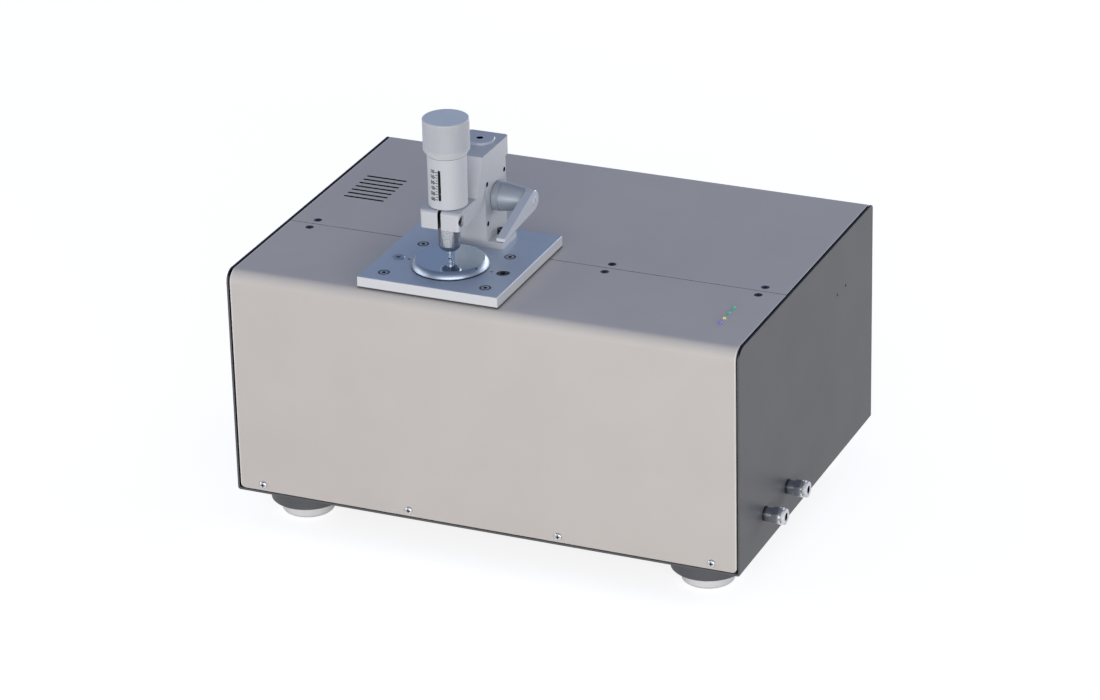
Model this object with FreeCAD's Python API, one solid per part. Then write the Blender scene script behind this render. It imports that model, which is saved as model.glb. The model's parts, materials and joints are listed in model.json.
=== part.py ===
import FreeCAD, Part
import math
import os

# Bench infrared spectrometer with a lever-operated clamp over its sampling crystal.
# Millimetres. Every shape is drawn with x from the middle of the housing, y back from its
# front face and z up from the bench, and is moved to the part's own origin when it is saved.

Vec = FreeCAD.Vector
X = Vec(1, 0, 0)
Y = Vec(0, 1, 0)
Z = Vec(0, 0, 1)

# Housing sizes
BODY_WIDTH = 400.0
BODY_DEPTH = 281.0
BODY_HEIGHT = 177.0
WALL = 1.5
COVER = 1.5
EDGE_GAP = 1.2
SEAM_FROM_FRONT = 102.4
SEAM_GAP = 0.8
FRONT_BEND = 9.0
REAR_BEND = 3.5
BASE_BEND = 2.0
COVER_CORNER = 3.5
COVER_LIFT = 0.8
LIP_HEIGHT = 16.0
LIP_INSET = 4.0
REAR_FLANGE = 26.0
PANEL = 2.0
PANEL_DROP = 6.0
RAIL_WIDTH = 30.0
RAIL_HEIGHT = 12.0

# Vent slots over the infrared source
VENT_COUNT = 7
VENT_PITCH = 6.84
VENT_LENGTH = 33.6
VENT_WIDTH = 2.6
VENT_FROM_SIDE = 36.1
VENT_FROM_FRONT = 159.3
REAR_VENT_RISE = 12.0

# Feet
PAD_RADIUS = 19.8
PAD_HEIGHT = 10.6
PAD_RECESS = 6.6
FOOT_RADIUS = 27.6
FOOT_HEIGHT = 15.4
FOOT_FROM_SIDE = 39.0
FOOT_INSET = 38.0
FOOT_BOLT = 3.0

# Small screws of the housing
SCREW = 1.5
HOLE_PLAY = 0.1
PAN_RADIUS = 2.9
PAN_HEIGHT = 1.9
FLAT_RADIUS = 3.1
SCREW_LENGTH = 9.0
SCREW_FROM_SIDE = 21.6
FRONT_SCREW_Z = 7.2
SEAM_SCREW_OFFSET = 7.15

# Indicators
LED_RADIUS = 1.5
LED_FROM_SIDE = 29.5
LED_FROM_FRONT = (67.2, 58.0, 48.6, 39.9)
LED_BOARD_DROP = 4.5

# Push-in purge fittings in the right side
FITTING_Z = 27.0
FITTING_FROM_FRONT = (50.5, 97.0)
FITTING_THREAD = 4.9
FITTING_NECK = 5.6
NECK_LENGTH = 7.0
HEX_FLATS = 12.0
HEX_LENGTH = 5.3
COLLAR_RADIUS = 6.4
COLLAR_LENGTH = 1.3
COLLET_GAP = 1.3
COLLET_TRAVEL = 1.0
COLLET_RIM = 5.9
COLLET_RIM_LENGTH = 1.6
COLLET_SLEEVE = 4.2
TUBE_BORE = 3.05
SIDE_HOLE_RADIUS = 1.2
SIDE_HOLES = ((202.9, 135.1), (221.3, 135.1))

# Sampling plate, disc and crystal
AXIS_X = -41.65
AXIS_FROM_FRONT = 48.1
PLATE_WIDTH = 110.3
PLATE_FRONT = 6.4
PLATE_DEPTH = 118.85
PLATE_THICKNESS = 8.8
GASKET = 0.5
GASKET_INSET = 1.0
PLATE_BORE = 19.9
PLATE_SCREW = 2.0
PLATE_HEAD = 3.65
PLATE_SCREWS = ((-40.0, 19.8), (40.0, 19.8), (-34.65, 76.5), (34.65, 76.5))
LOCK_SPREAD = 41.5
LOCK_HEAD = 4.9
DOWEL_SPREAD = 32.7
DOWEL_RADIUS = 1.5
DOWEL_DEPTH = 5.0
DISC_RADIUS = 28.5
DISC_TOP_RADIUS = 25.6
DISC_EDGE = 1.2
DISC_HEIGHT = 5.9
CRYSTAL_RADIUS = 2.0
CRYSTAL_DEPTH = 1.0
OPENING_WIDTH = 64.0
OPENING_DEPTH = 44.0

# Clamp post and its foot
POST_WIDTH = 23.3
POST_FRONT = 87.0
POST_DEPTH = 38.2
POST_HEIGHT = 61.3
FOOT_PLATE_WIDTH = 48.5
FOOT_PLATE_DEPTH = 26.7
FOOT_PLATE_THICKNESS = 4.8
FOOT_SCREW_X = 16.3
FOOT_SCREW_FROM_FRONT = 17.0
SIDE_COVER = 2.8
SIDE_SCREW_PITCH = 31.0
SIDE_SCREW = 1.5
SIDE_COVER_Z = 32.6
RUNNING = 0.05
FREE = 0.3

# Cam, yoke and lift column
CAM_Z = 33.7
CAM_LOW = 5.0
CAM_LIFT = 5.0
CAM_TURN = 90.0
CAM_WIDTH = 7.4
YOKE_WIDTH = 8.0
YOKE_BAR = 2.5
YOKE_SIDE = 1.8
YOKE_STUB = 2.5
YOKE_ROUND = 2.5
COLUMN_RADIUS = 8.0
JOURNAL = 6.0
SPINDLE = 5.0
INNER_JOURNAL = 3.5

# Hub and lever
HUB_RADIUS = 11.1
HUB_RING = 5.3
HUB_CONE = 18.0
HUB_END_RADIUS = 8.2
LEVER_WIDTH = 7.0
LEVER_EYE = 7.5
LEVER_REACH = 54.6
LEVER_TIP = 2.3
LEVER_TIP_DROP = 10.8
LEVER_CHAMFER = 0.4

# Clamp arm
ARM_WIDTH = 31.0
ARM_FRONT = 31.4
ARM_BOTTOM = 34.5
ARM_THICKNESS = 13.9
ARM_TOP_END = 62.6
ARM_BOTTOM_END = 69.4
HEAD_FRONT = 75.3
HEAD_UNDER_FRONT = 84.0
HEAD_BACK = 122.7
HEAD_THICKNESS = 14.0
HEAD_CLEAR = 0.4
ARM_EDGE = 2.5
SLIT = 2.4
CLAMP_SCREW_FROM_FRONT = 36.4
CLAMP_SCREW = 2.0
CLAMP_HEAD = 3.5
CLAMP_SEAT = 4.3
CLAMP_SEAT_DEPTH = 5.0
CAP_RADIUS = 11.0
CAP_HEIGHT = 1.8
CAP_SHANK = 4.0
HEX_KEY = 5.0

# Load sleeve, knob and anvil
NOSE_RADIUS = 8.1
NOSE_DROP = 22.2
NOSE_ROUND = 5.0
NOSE_FLOOR = 6.0
NOSE_BORE = 6.3
NOSE_FLANGE = 3.0
SLEEVE_RADIUS = 14.3
SLEEVE_HEIGHT = 38.9
SLEEVE_BORE = 11.1
SLEEVE_ROOF = 2.0
NECK_RADIUS = 12.2
NECK_HEIGHT = 20.4
SLOT_WIDTH = 2.2
SLOT_LOW = 7.3
SLOT_HIGH = 31.0
KNOB_RADIUS = 17.0
KNOB_HEIGHT = 23.3
KNOB_CONE = 4.1
KNOB_MOUTH = 14.4
KNOB_BORE = 12.6
KNOB_CAP = 2.5
LEAD_SCREW = 3.5
THREAD_LEAD = 5.0
KNOB_TURNS = 4
NUT_HEIGHT = 6.4
POINTER = 0.8
POINTER_Z = 9.3
ROD_RADIUS = 2.6
ROD_HEAD = 5.9
ROD_HEAD_HEIGHT = 3.0
ROD_DROP = 2.8
TIP_RADIUS = 1.9
SAMPLE_GAP = 0.3
ANVIL_GIVE = 3.0
SPRING_TURNS = 6
SPRING_WIRE = 1.2

# Optics inside the housing
OPTICS_FROM_SIDE = 12.0
OPTICS_WIDTH = 260.0
OPTICS_FRONT = 18.0
OPTICS_FROM_BACK = 26.0
OPTICS_THICKNESS = 10.0
LEG_RADIUS = 9.0
LEG_HEIGHT = 16.0
LEG_INSET = 50.0
BEAM_HEIGHT = 30.0
BLOCK_SIZE = 70.0
BLOCK_HEIGHT = 62.0
BLOCK_FROM_AXIS = 38.35
BLOCK_FROM_FRONT = 155.0
BEAM_BORE = 15.0
SPLITTER_RADIUS = 17.0
SPLITTER_THICKNESS = 4.0
MIRROR_RADIUS = 13.0
MIRROR_THICKNESS = 4.0
SCAN_STROKE = 4.0
SCAN_RAIL_LENGTH = 34.0
SCAN_RAIL_HALF = 7.0
SCAN_RAIL_HEIGHT = 10.0
MIRROR_LIFT = 81.0
CARRIAGE_LENGTH = 20.0
COIL_RADIUS = 9.0
COIL_LENGTH = 14.0
SOURCE_HALF = 17.0
SOURCE_FIN_TOP = 34.0
LASER_FROM_AXIS = 49.65
LASER_LENGTH = 46.0
DETECTOR_FROM_AXIS = 85.65
DETECTOR_HALF = 16.0
CANISTER_RADIUS = 19.0
CANISTER_HEIGHT = 68.0
CANISTER_FROM_SIDE = 48.0
CANISTER_FROM_FRONT = 66.0

# Main board and rear connections
BOARD_THICKNESS = 1.6
STANDOFF_HEIGHT = 12.0
STANDOFF_RADIUS = 3.0
BOARD_FROM_SIDE = 78.0
BOARD_WIDTH = 66.0
BOARD_FROM_BACK = 131.0
BOARD_DEPTH = 124.0
SWITCH_FROM_SIDE = 100.0
SWITCH_Z = 92.0
SWITCH_WIDTH = 19.2
SWITCH_HEIGHT = 14.4
SWITCH_DEPTH = 16.0
SWITCH_FRAME = 2.0
SWITCH_MARGIN = 1.4
ROCKER_WIDTH = 16.0
ROCKER_HEIGHT = 10.4
ROCKER_TILT = 8.0
TRUNNION = 1.0
POWER_Z = 62.0
POWER_FLANGE = 9.0
POWER_BARREL = 6.0
POWER_DEPTH = 14.0
POWER_BORE = 3.2
SOCKET_FROM_SIDE = 45.0

# Places that follow from the sizes
BASE_Z = PAD_HEIGHT + FOOT_HEIGHT
FLOOR_Z = BASE_Z + WALL
TOP_Z = BASE_Z + BODY_HEIGHT
HALF_WIDTH = BODY_WIDTH / 2
INNER_HALF = HALF_WIDTH - WALL
COVER_HALF = INNER_HALF - EDGE_GAP
SCREW_OUTER = HALF_WIDTH - SCREW_FROM_SIDE
SCREW_INNER = SCREW_OUTER / 3
SCREW_COLUMNS = (-SCREW_OUTER, -SCREW_INNER, SCREW_INNER, SCREW_OUTER)
FOOT_SPREAD = HALF_WIDTH - FOOT_FROM_SIDE
VENT_X = VENT_FROM_SIDE - HALF_WIDTH
LED_X = HALF_WIDTH - LED_FROM_SIDE
COVER_FOOT = FLOOR_Z + COVER_LIFT
PLATE_BASE = TOP_Z + GASKET
PLATE_TOP = PLATE_BASE + PLATE_THICKNESS
DISC_TOP = PLATE_TOP + DISC_HEIGHT
POST_TOP = PLATE_TOP + POST_HEIGHT
CAM_HIGH = CAM_LOW + CAM_LIFT
CAM_RISE = CAM_LIFT / math.radians(CAM_TURN)
CAM_REACH = CAM_HIGH + (math.sqrt(2) - 1) * CAM_RISE
COLUMN_Y = POST_FRONT + POST_DEPTH / 2
CAM_AXIS_Z = PLATE_TOP + CAM_Z
SIDE_COVER_MIDDLE = PLATE_TOP + SIDE_COVER_Z
POST_RIGHT = AXIS_X + POST_WIDTH / 2
POST_LEFT = AXIS_X - POST_WIDTH / 2
ARM_LOW = PLATE_TOP + ARM_BOTTOM
ARM_TOP = ARM_LOW + ARM_THICKNESS
HEAD_LOW = POST_TOP + HEAD_CLEAR
HEAD_TOP = HEAD_LOW + HEAD_THICKNESS
YOKE_LOW = CAM_AXIS_Z - CAM_HIGH - FREE
YOKE_HIGH = CAM_AXIS_Z + CAM_LOW + FREE
YOKE_TOP = YOKE_HIGH + YOKE_BAR
YOKE_HALF = CAM_REACH + FREE + YOKE_SIDE
POCKET_LOW = YOKE_LOW - YOKE_BAR - FREE
POCKET_HIGH = YOKE_TOP + CAM_LIFT + FREE
POCKET_RIGHT = AXIS_X + YOKE_WIDTH / 2 + FREE
HUB_LEFT = POST_RIGHT + FREE
LEVER_LEFT = HUB_LEFT + HUB_RING + HUB_CONE
LEVER_RIGHT = LEVER_LEFT + LEVER_WIDTH
NOSE_LOW = ARM_LOW - NOSE_DROP
SLEEVE_TOP = ARM_TOP + SLEEVE_HEIGHT
NECK_TOP = SLEEVE_TOP + NECK_HEIGHT
KNOB_LOW = SLEEVE_TOP + FREE
KNOB_TOP = KNOB_LOW + KNOB_CONE + KNOB_HEIGHT
POINTER_HEIGHT = ARM_TOP + POINTER_Z
NUT_LOW = POINTER_HEIGHT - NUT_HEIGHT / 2
NUT_TRAVEL = THREAD_LEAD * KNOB_TURNS
ROD_HEAD_LOW = NOSE_LOW + NOSE_FLOOR + FREE
TIP_LOW = DISC_TOP + SAMPLE_GAP
WALL_X = HALF_WIDTH
COLLET_RIM_X = WALL_X + NECK_LENGTH + HEX_LENGTH + COLLAR_LENGTH + COLLET_GAP
FITTING_END = COLLET_RIM_X + COLLET_RIM_LENGTH
PANEL_BACK = BODY_DEPTH - COVER - FREE
PANEL_FRONT = PANEL_BACK - PANEL
OPTICS_Z = FLOOR_Z + LEG_HEIGHT + OPTICS_THICKNESS
OPTICS_LEFT = OPTICS_FROM_SIDE - HALF_WIDTH
OPTICS_DEPTH = BODY_DEPTH - OPTICS_FRONT - OPTICS_FROM_BACK
BLOCK_X = AXIS_X - BLOCK_FROM_AXIS
BOARD_LEFT = HALF_WIDTH - BOARD_FROM_SIDE
BOARD_FRONT = BODY_DEPTH - BOARD_FROM_BACK
SWITCH_X = HALF_WIDTH - SWITCH_FROM_SIDE
POWER_X = SWITCH_X
SOCKET_X = HALF_WIDTH - SOCKET_FROM_SIDE
BEAM_Z = OPTICS_Z + BEAM_HEIGHT
BOARD_Z = FLOOR_Z + STANDOFF_HEIGHT
SWITCH_PIVOT_Y = PANEL_BACK - 0.5
NUT_RADIUS = SLEEVE_BORE - RUNNING

# The origin is the middle of the part's footprint on the bench: the purge fittings stand
# out to the right only, and the front and rear screw heads stand out alike.
ORIGIN = Vec((FITTING_END - HALF_WIDTH) / 2, BODY_DEPTH / 2, 0)


# Drawing helpers
def block(x0, x1, y0, y1, z0, z1):
    return Part.makeBox(x1 - x0, y1 - y0, z1 - z0, Vec(x0, y0, z0))


def cylinder(radius, x, y, z, length, axis=Z):
    return Part.makeCylinder(radius, length, Vec(x, y, z), axis)


def cone(low_radius, high_radius, x, y, z, length, axis=Z):
    return Part.makeCone(low_radius, high_radius, length, Vec(x, y, z), axis)


def face_of(points):
    return Part.Face(Part.makePolygon(points + points[:1]))


def prism_x(outline, x0, x1):
    points = [Vec(x0, y, z) for y, z in outline]
    return face_of(points).extrude(Vec(x1 - x0, 0, 0))


def prism_y(outline, y0, y1):
    points = [Vec(x, y0, z) for x, z in outline]
    return face_of(points).extrude(Vec(0, y1 - y0, 0))


def turned(outline, x, y):
    points = [Vec(x + r, y, z) for r, z in outline]
    return face_of(points).revolve(Vec(x, y, 0), Z, 360)


def hexagon(flats, x, y, z, length, axis=Z):
    corner = flats / math.sqrt(3)
    side = Y if axis == X else X
    across = axis.cross(side)
    centre = Vec(x, y, z)
    points = []
    for step in range(6):
        angle = math.radians(60 * step + 30)
        points.append(centre + side * (corner * math.cos(angle)) + across * (corner * math.sin(angle)))
    return face_of(points).extrude(axis * length)


def joined(*shapes):
    whole = shapes[0].multiFuse(list(shapes[1:]))
    return whole.removeSplitter()


def group(shapes):
    return Part.makeCompound(list(shapes))


def along(edge, axis):
    if not isinstance(edge.Curve, Part.Line):
        return False
    return abs(abs(edge.Curve.Direction.dot(axis)) - 1) < 1e-6


def rounded(shape, radius, wanted):
    edges = [edge for edge in shape.Edges if wanted(edge, edge.CenterOfMass)]
    return shape.makeFillet(radius, edges)


def sheet_bend(foot_z, end_y, radius, front):
    """An L-shaped sheet seen from the side: an upright leg, a round bend and the flat top."""
    leg = 0 if front else BODY_DEPTH
    turn = 1 if front else -1
    inner = leg + turn * COVER
    bend = leg + turn * radius
    low = TOP_Z - radius
    under = TOP_Z - COVER
    slant = math.sqrt(0.5)
    centre = Vec(0, bend, low)

    def on_bend(size):
        return centre + Vec(0, -turn * size * slant, size * slant)

    edges = [
        Part.makeLine(Vec(0, leg, foot_z), Vec(0, leg, low)),
        Part.Arc(Vec(0, leg, low), on_bend(radius), Vec(0, bend, TOP_Z)).toShape(),
        Part.makeLine(Vec(0, bend, TOP_Z), Vec(0, end_y, TOP_Z)),
        Part.makeLine(Vec(0, end_y, TOP_Z), Vec(0, end_y, under)),
        Part.makeLine(Vec(0, end_y, under), Vec(0, bend, under)),
        Part.Arc(Vec(0, bend, under), on_bend(radius - COVER), Vec(0, inner, low)).toShape(),
        Part.makeLine(Vec(0, inner, low), Vec(0, inner, foot_z)),
        Part.makeLine(Vec(0, inner, foot_z), Vec(0, leg, foot_z)),
    ]
    side = Part.Face(Part.Wire(edges))
    side.translate(Vec(-COVER_HALF, 0, 0))
    return side.extrude(Vec(2 * COVER_HALF, 0, 0))


# Chassis and covers
def foot_places():
    for x in (-FOOT_SPREAD, FOOT_SPREAD):
        for y in (FOOT_INSET, BODY_DEPTH - FOOT_INSET):
            yield x, y


def chassis_tub():
    tub = block(-HALF_WIDTH, HALF_WIDTH, 0, BODY_DEPTH, BASE_Z, TOP_Z)
    tub = rounded(tub, FRONT_BEND, lambda e, m: along(e, X) and m.y < 1 and m.z > BASE_Z + 1)
    tub = rounded(tub, REAR_BEND, lambda e, m: along(e, X) and m.y > BODY_DEPTH - 1 and m.z > BASE_Z + 1)
    tub = rounded(tub, BASE_BEND, lambda e, m: along(e, Y) and m.z < BASE_Z + 1)
    room = block(-INNER_HALF, INNER_HALF, -1, BODY_DEPTH + 1, FLOOR_Z, TOP_Z + 1)
    room = rounded(room, BASE_BEND - WALL, lambda e, m: along(e, Y) and m.z < FLOOR_Z + 1)
    tub = tub.cut(room)
    lip_half = INNER_HALF - LIP_INSET
    lip_top = FLOOR_Z + LIP_HEIGHT
    front_lip = block(-lip_half, lip_half, COVER, COVER + WALL, FLOOR_Z - WALL / 2, lip_top)
    rear_lip = block(-lip_half, lip_half, PANEL_FRONT - WALL, PANEL_FRONT, FLOOR_Z - WALL / 2, lip_top)
    z = BASE_Z + FITTING_Z
    bushes = [cylinder(FITTING_THREAD + 3, INNER_HALF - 4, y, z, 5, X) for y in FITTING_FROM_FRONT]
    tub = joined(tub, front_lip, rear_lip, *bushes)
    holes = [cylinder(FOOT_BOLT + HOLE_PLAY, x, y, BASE_Z - 1, WALL + 2) for x, y in foot_places()]
    for x in SCREW_COLUMNS:
        holes.append(cylinder(SCREW + HOLE_PLAY, x, 0, BASE_Z + FRONT_SCREW_Z, 2 * WALL + COVER, Y))
        holes.append(cylinder(SCREW + HOLE_PLAY, x, PANEL_FRONT - 2 * WALL, BASE_Z + FRONT_SCREW_Z, 9, Y))
    for y in FITTING_FROM_FRONT:
        holes.append(cylinder(FITTING_THREAD, INNER_HALF - 5, y, BASE_Z + FITTING_Z, WALL + 6, X))
    for y, z in SIDE_HOLES:
        holes.append(cylinder(SIDE_HOLE_RADIUS, INNER_HALF - 1, y, BASE_Z + z, WALL + 2, X))
    shell = data_shell_outline()
    holes.append(block(shell[0] - FREE, shell[1] + FREE, PANEL_FRONT - WALL - 1, PANEL_FRONT + 1,
                       shell[2] - FREE, lip_top + 1))
    return tub.cut(holes)


def flat_screw_seat(x, y):
    sink = cone(SCREW + HOLE_PLAY, FLAT_RADIUS + HOLE_PLAY, x, y, TOP_Z - COVER, COVER)
    return sink


def front_cover():
    cover = sheet_bend(COVER_FOOT, SEAM_FROM_FRONT - SEAM_GAP / 2, FRONT_BEND, True)
    cover = rounded(cover, COVER_CORNER, lambda e, m: along(e, Y) and m.z < COVER_FOOT + 1)
    cuts = []
    for x in SCREW_COLUMNS:
        cuts.append(cylinder(SCREW + HOLE_PLAY, x, -1, BASE_Z + FRONT_SCREW_Z, COVER + 2, Y))
        cuts.append(flat_screw_seat(x, SEAM_FROM_FRONT - SEAM_SCREW_OFFSET))
    for y in LED_FROM_FRONT:
        cuts.append(cylinder(LED_RADIUS + HOLE_PLAY, LED_X, y, TOP_Z - 2 * COVER, 3 * COVER))
    cuts.append(beam_opening(TOP_Z - 2 * COVER, TOP_Z + 1))
    for x, y in plate_screw_places():
        cuts.append(cylinder(PLATE_SCREW + HOLE_PLAY, x, y, TOP_Z - 2 * COVER, 3 * COVER))
    return cover.cut(cuts)


def beam_opening(low, high):
    half_x = OPENING_WIDTH / 2
    half_y = OPENING_DEPTH / 2
    hole = block(AXIS_X - half_x, AXIS_X + half_x, AXIS_FROM_FRONT - half_y, AXIS_FROM_FRONT + half_y,
                 low, high)
    return rounded(hole, COVER_CORNER, lambda e, m: along(e, Z))


def vent_slot(y):
    half = VENT_LENGTH / 2 - VENT_WIDTH / 2
    low = TOP_Z - 2 * COVER
    middle = block(VENT_X - half, VENT_X + half, y - VENT_WIDTH / 2, y + VENT_WIDTH / 2, low, TOP_Z + 1)
    ends = [cylinder(VENT_WIDTH / 2, VENT_X + side * half, y, low, 2 * COVER + 1) for side in (-1, 1)]
    return joined(middle, *ends)


def rear_cover():
    foot = TOP_Z - REAR_FLANGE
    cover = sheet_bend(foot, SEAM_FROM_FRONT + SEAM_GAP / 2, REAR_BEND, False)
    cover = rounded(cover, COVER_CORNER, lambda e, m: along(e, Y) and m.z < foot + 1)
    cuts = [vent_slot(VENT_FROM_FRONT + VENT_PITCH * row) for row in range(VENT_COUNT)]
    for x in SCREW_COLUMNS:
        cuts.append(flat_screw_seat(x, SEAM_FROM_FRONT + SEAM_SCREW_OFFSET))
        cuts.append(cylinder(SCREW + HOLE_PLAY, x, PANEL_BACK, rear_screw_z(), COVER + 2, Y))
    return cover.cut(cuts)


def rear_screw_z():
    return TOP_Z - REAR_FLANGE * 0.6


def rear_panel():
    panel = block(-COVER_HALF, COVER_HALF, PANEL_FRONT, PANEL_BACK, FLOOR_Z, TOP_Z - PANEL_DROP)
    cuts = []
    for x in SCREW_COLUMNS:
        for z in (BASE_Z + FRONT_SCREW_Z, rear_screw_z()):
            cuts.append(cylinder(SCREW + HOLE_PLAY, x, PANEL_FRONT - 1, z, PANEL + 2, Y))
    half_x = SWITCH_WIDTH / 2 + FREE
    half_z = SWITCH_HEIGHT / 2 + FREE
    cuts.append(block(SWITCH_X - half_x, SWITCH_X + half_x, PANEL_FRONT - 1, PANEL_BACK + 1,
                      SWITCH_Z - half_z, SWITCH_Z + half_z))
    cuts.append(cylinder(POWER_BARREL + HOLE_PLAY, POWER_X, PANEL_FRONT - 1, POWER_Z, PANEL + 2, Y))
    shell = data_shell_outline()
    cuts.append(block(shell[0] - FREE, shell[1] + FREE, PANEL_FRONT - 1, PANEL_BACK + 1,
                      shell[2] - FREE, shell[3] + FREE))
    left = VENT_X - VENT_LENGTH / 2
    right = VENT_X + VENT_LENGTH / 2
    for row in range(VENT_COUNT):
        z = BASE_Z + LIP_HEIGHT + REAR_VENT_RISE + VENT_PITCH * row
        cuts.append(block(left, right, PANEL_FRONT - 1, PANEL_BACK + 1, z, z + VENT_WIDTH))
    return panel.cut(cuts)


def cross_rail():
    half = RAIL_WIDTH / 2
    front = SEAM_FROM_FRONT - half
    back = SEAM_FROM_FRONT + half
    top = TOP_Z - COVER
    outline = [
        (front, top), (back, top), (back, top - RAIL_HEIGHT), (back - WALL, top - RAIL_HEIGHT),
        (back - WALL, top - WALL), (front + WALL, top - WALL), (front + WALL, top - RAIL_HEIGHT),
        (front, top - RAIL_HEIGHT),
    ]
    rail = prism_x(outline, -INNER_HALF, INNER_HALF)
    cuts = []
    for x in SCREW_COLUMNS:
        for side in (-1, 1):
            y = SEAM_FROM_FRONT + side * SEAM_SCREW_OFFSET
            cuts.append(cylinder(SCREW + HOLE_PLAY, x, y, top - WALL - 1, WALL + 2))
    return rail.cut(cuts)


def cross_cut(x, y, z, size, depth, axis):
    """The cross recess of a small screw, cut into a head whose top is at the given point."""
    half = size / 2
    blade = size / 7
    if axis == Z:
        return [block(x - half, x + half, y - blade, y + blade, z - depth, z + 1),
                block(x - blade, x + blade, y - half, y + half, z - depth, z + 1)]
    low, high = (y - 1, y + depth) if axis.y < 0 else (y - depth, y + 1)
    return [block(x - half, x + half, low, high, z - blade, z + blade),
            block(x - blade, x + blade, low, high, z - half, z + half)]


def pan_screw(x, seat_y, z, outward):
    """A cross-recessed pan head screw through the front or the rear, seated on the sheet."""
    crown = seat_y + outward * PAN_HEIGHT
    low = min(seat_y, crown)
    head = cylinder(PAN_RADIUS, x, low, z, PAN_HEIGHT, Y)
    head = rounded(head, PAN_HEIGHT * 0.55, lambda e, m: abs(m.y - crown) < 0.01)
    shank_low = seat_y if outward < 0 else seat_y - SCREW_LENGTH
    shank = cylinder(SCREW, x, shank_low, z, SCREW_LENGTH, Y)
    screw = joined(head, shank)
    return screw.cut(cross_cut(x, crown, z, 3.2, 1.1, Vec(0, outward, 0)))


def flat_screw(x, y):
    head = cone(SCREW, FLAT_RADIUS, x, y, TOP_Z - COVER, COVER)
    shank = cylinder(SCREW, x, y, TOP_Z - SCREW_LENGTH, SCREW_LENGTH - COVER)
    return joined(head, shank).cut(cross_cut(x, y, TOP_Z, 3.2, 1.0, Z))


def pan_screws():
    front = [pan_screw(x, 0, BASE_Z + FRONT_SCREW_Z, -1) for x in SCREW_COLUMNS]
    upper = [pan_screw(x, BODY_DEPTH, rear_screw_z(), 1) for x in SCREW_COLUMNS]
    lower = [pan_screw(x, PANEL_BACK, BASE_Z + FRONT_SCREW_Z, 1) for x in SCREW_COLUMNS]
    return group(front + upper + lower)


def top_cover_screws():
    screws = []
    for x in SCREW_COLUMNS:
        for side in (-1, 1):
            screws.append(flat_screw(x, SEAM_FROM_FRONT + side * SEAM_SCREW_OFFSET))
    return group(screws)


# Feet
def foot_discs():
    discs = []
    for x, y in foot_places():
        disc = cylinder(FOOT_RADIUS, x, y, PAD_HEIGHT, FOOT_HEIGHT)
        disc = disc.makeChamfer(0.8, [e for e in disc.Edges if abs(e.CenterOfMass.z - PAD_HEIGHT) < 0.01])
        discs.append(disc.cut(cylinder(FOOT_BOLT + HOLE_PLAY, x, y, 0, BASE_Z + 1)))
    return group(discs)


def foot_pads():
    pads = []
    for x, y in foot_places():
        pad = cylinder(PAD_RADIUS, x, y, 0, PAD_HEIGHT)
        pad = pad.makeFillet(2.5, [e for e in pad.Edges if abs(e.CenterOfMass.z) < 0.01])
        pad = pad.cut([cylinder(FOOT_BOLT + HOLE_PLAY, x, y, -1, PAD_HEIGHT + 2),
                       cylinder(2 * FOOT_BOLT + 0.5, x, y, -1, PAD_RECESS + 1)])
        pads.append(pad)
    return group(pads)


def foot_bolts():
    bolts = []
    nut_z = FLOOR_Z
    for x, y in foot_places():
        head = cylinder(2 * FOOT_BOLT - 0.5, x, y, PAD_RECESS - 4, 4)
        shank = cylinder(FOOT_BOLT, x, y, PAD_RECESS, nut_z + 7 - PAD_RECESS)
        bolts.append(joined(head, shank).cut(hexagon(4, x, y, PAD_RECESS - 4, 2.2)))
        nut = hexagon(10, x, y, nut_z, 5)
        bolts.append(nut.cut(cylinder(FOOT_BOLT + HOLE_PLAY, x, y, nut_z - 1, 7)))
    return group(bolts)


# Indicators
def led_board():
    top = TOP_Z - COVER - LED_BOARD_DROP
    first = min(LED_FROM_FRONT) - 7
    last = max(LED_FROM_FRONT) + 7
    board = block(LED_X - 14, LED_X + 8, first, last, top - BOARD_THICKNESS, top)
    posts = []
    for y in (first + 3, last - 3):
        posts.append(cylinder(2.2, LED_X - 10, y, top, LED_BOARD_DROP))
    return joined(board, *posts)


def led(y):
    base = TOP_Z - COVER - LED_BOARD_DROP
    stem = cylinder(LED_RADIUS, LED_X, y, base, TOP_Z - base)
    crown = Part.makeSphere(LED_RADIUS, Vec(LED_X, y, TOP_Z), Z, 0, 90, 360)
    return joined(stem, crown)


# Purge fittings
def fitting_body(y):
    z = BASE_Z + FITTING_Z
    inner = INNER_HALF - 8
    hex_x = WALL_X + NECK_LENGTH
    collar_x = hex_x + HEX_LENGTH
    flats = hexagon(HEX_FLATS, hex_x, y, z, HEX_LENGTH, X)
    ball = cone(HEX_FLATS / 2 + 0.5, HEX_FLATS / 2 + 2.2, hex_x, y, z, 1.7, X)
    barrel = cylinder(HEX_FLATS / 2 + 2.2, hex_x + 1.7, y, z, HEX_LENGTH - 1.7, X)
    flats = flats.common(joined(ball, barrel))
    body = joined(
        cylinder(FITTING_THREAD, inner, y, z, WALL_X - inner, X),
        cylinder(FITTING_NECK, WALL_X, y, z, NECK_LENGTH, X),
        flats,
        cylinder(COLLAR_RADIUS, collar_x, y, z, COLLAR_LENGTH, X),
    )
    seat = WALL_X + NECK_LENGTH - FREE
    return body.cut([
        cylinder(TUBE_BORE - 1, inner - 1, y, z, WALL_X - inner + 2, X),
        cylinder(TUBE_BORE, WALL_X, y, z, NECK_LENGTH, X),
        cylinder(COLLET_SLEEVE + RUNNING, seat, y, z, FITTING_END - seat, X),
    ])


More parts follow.
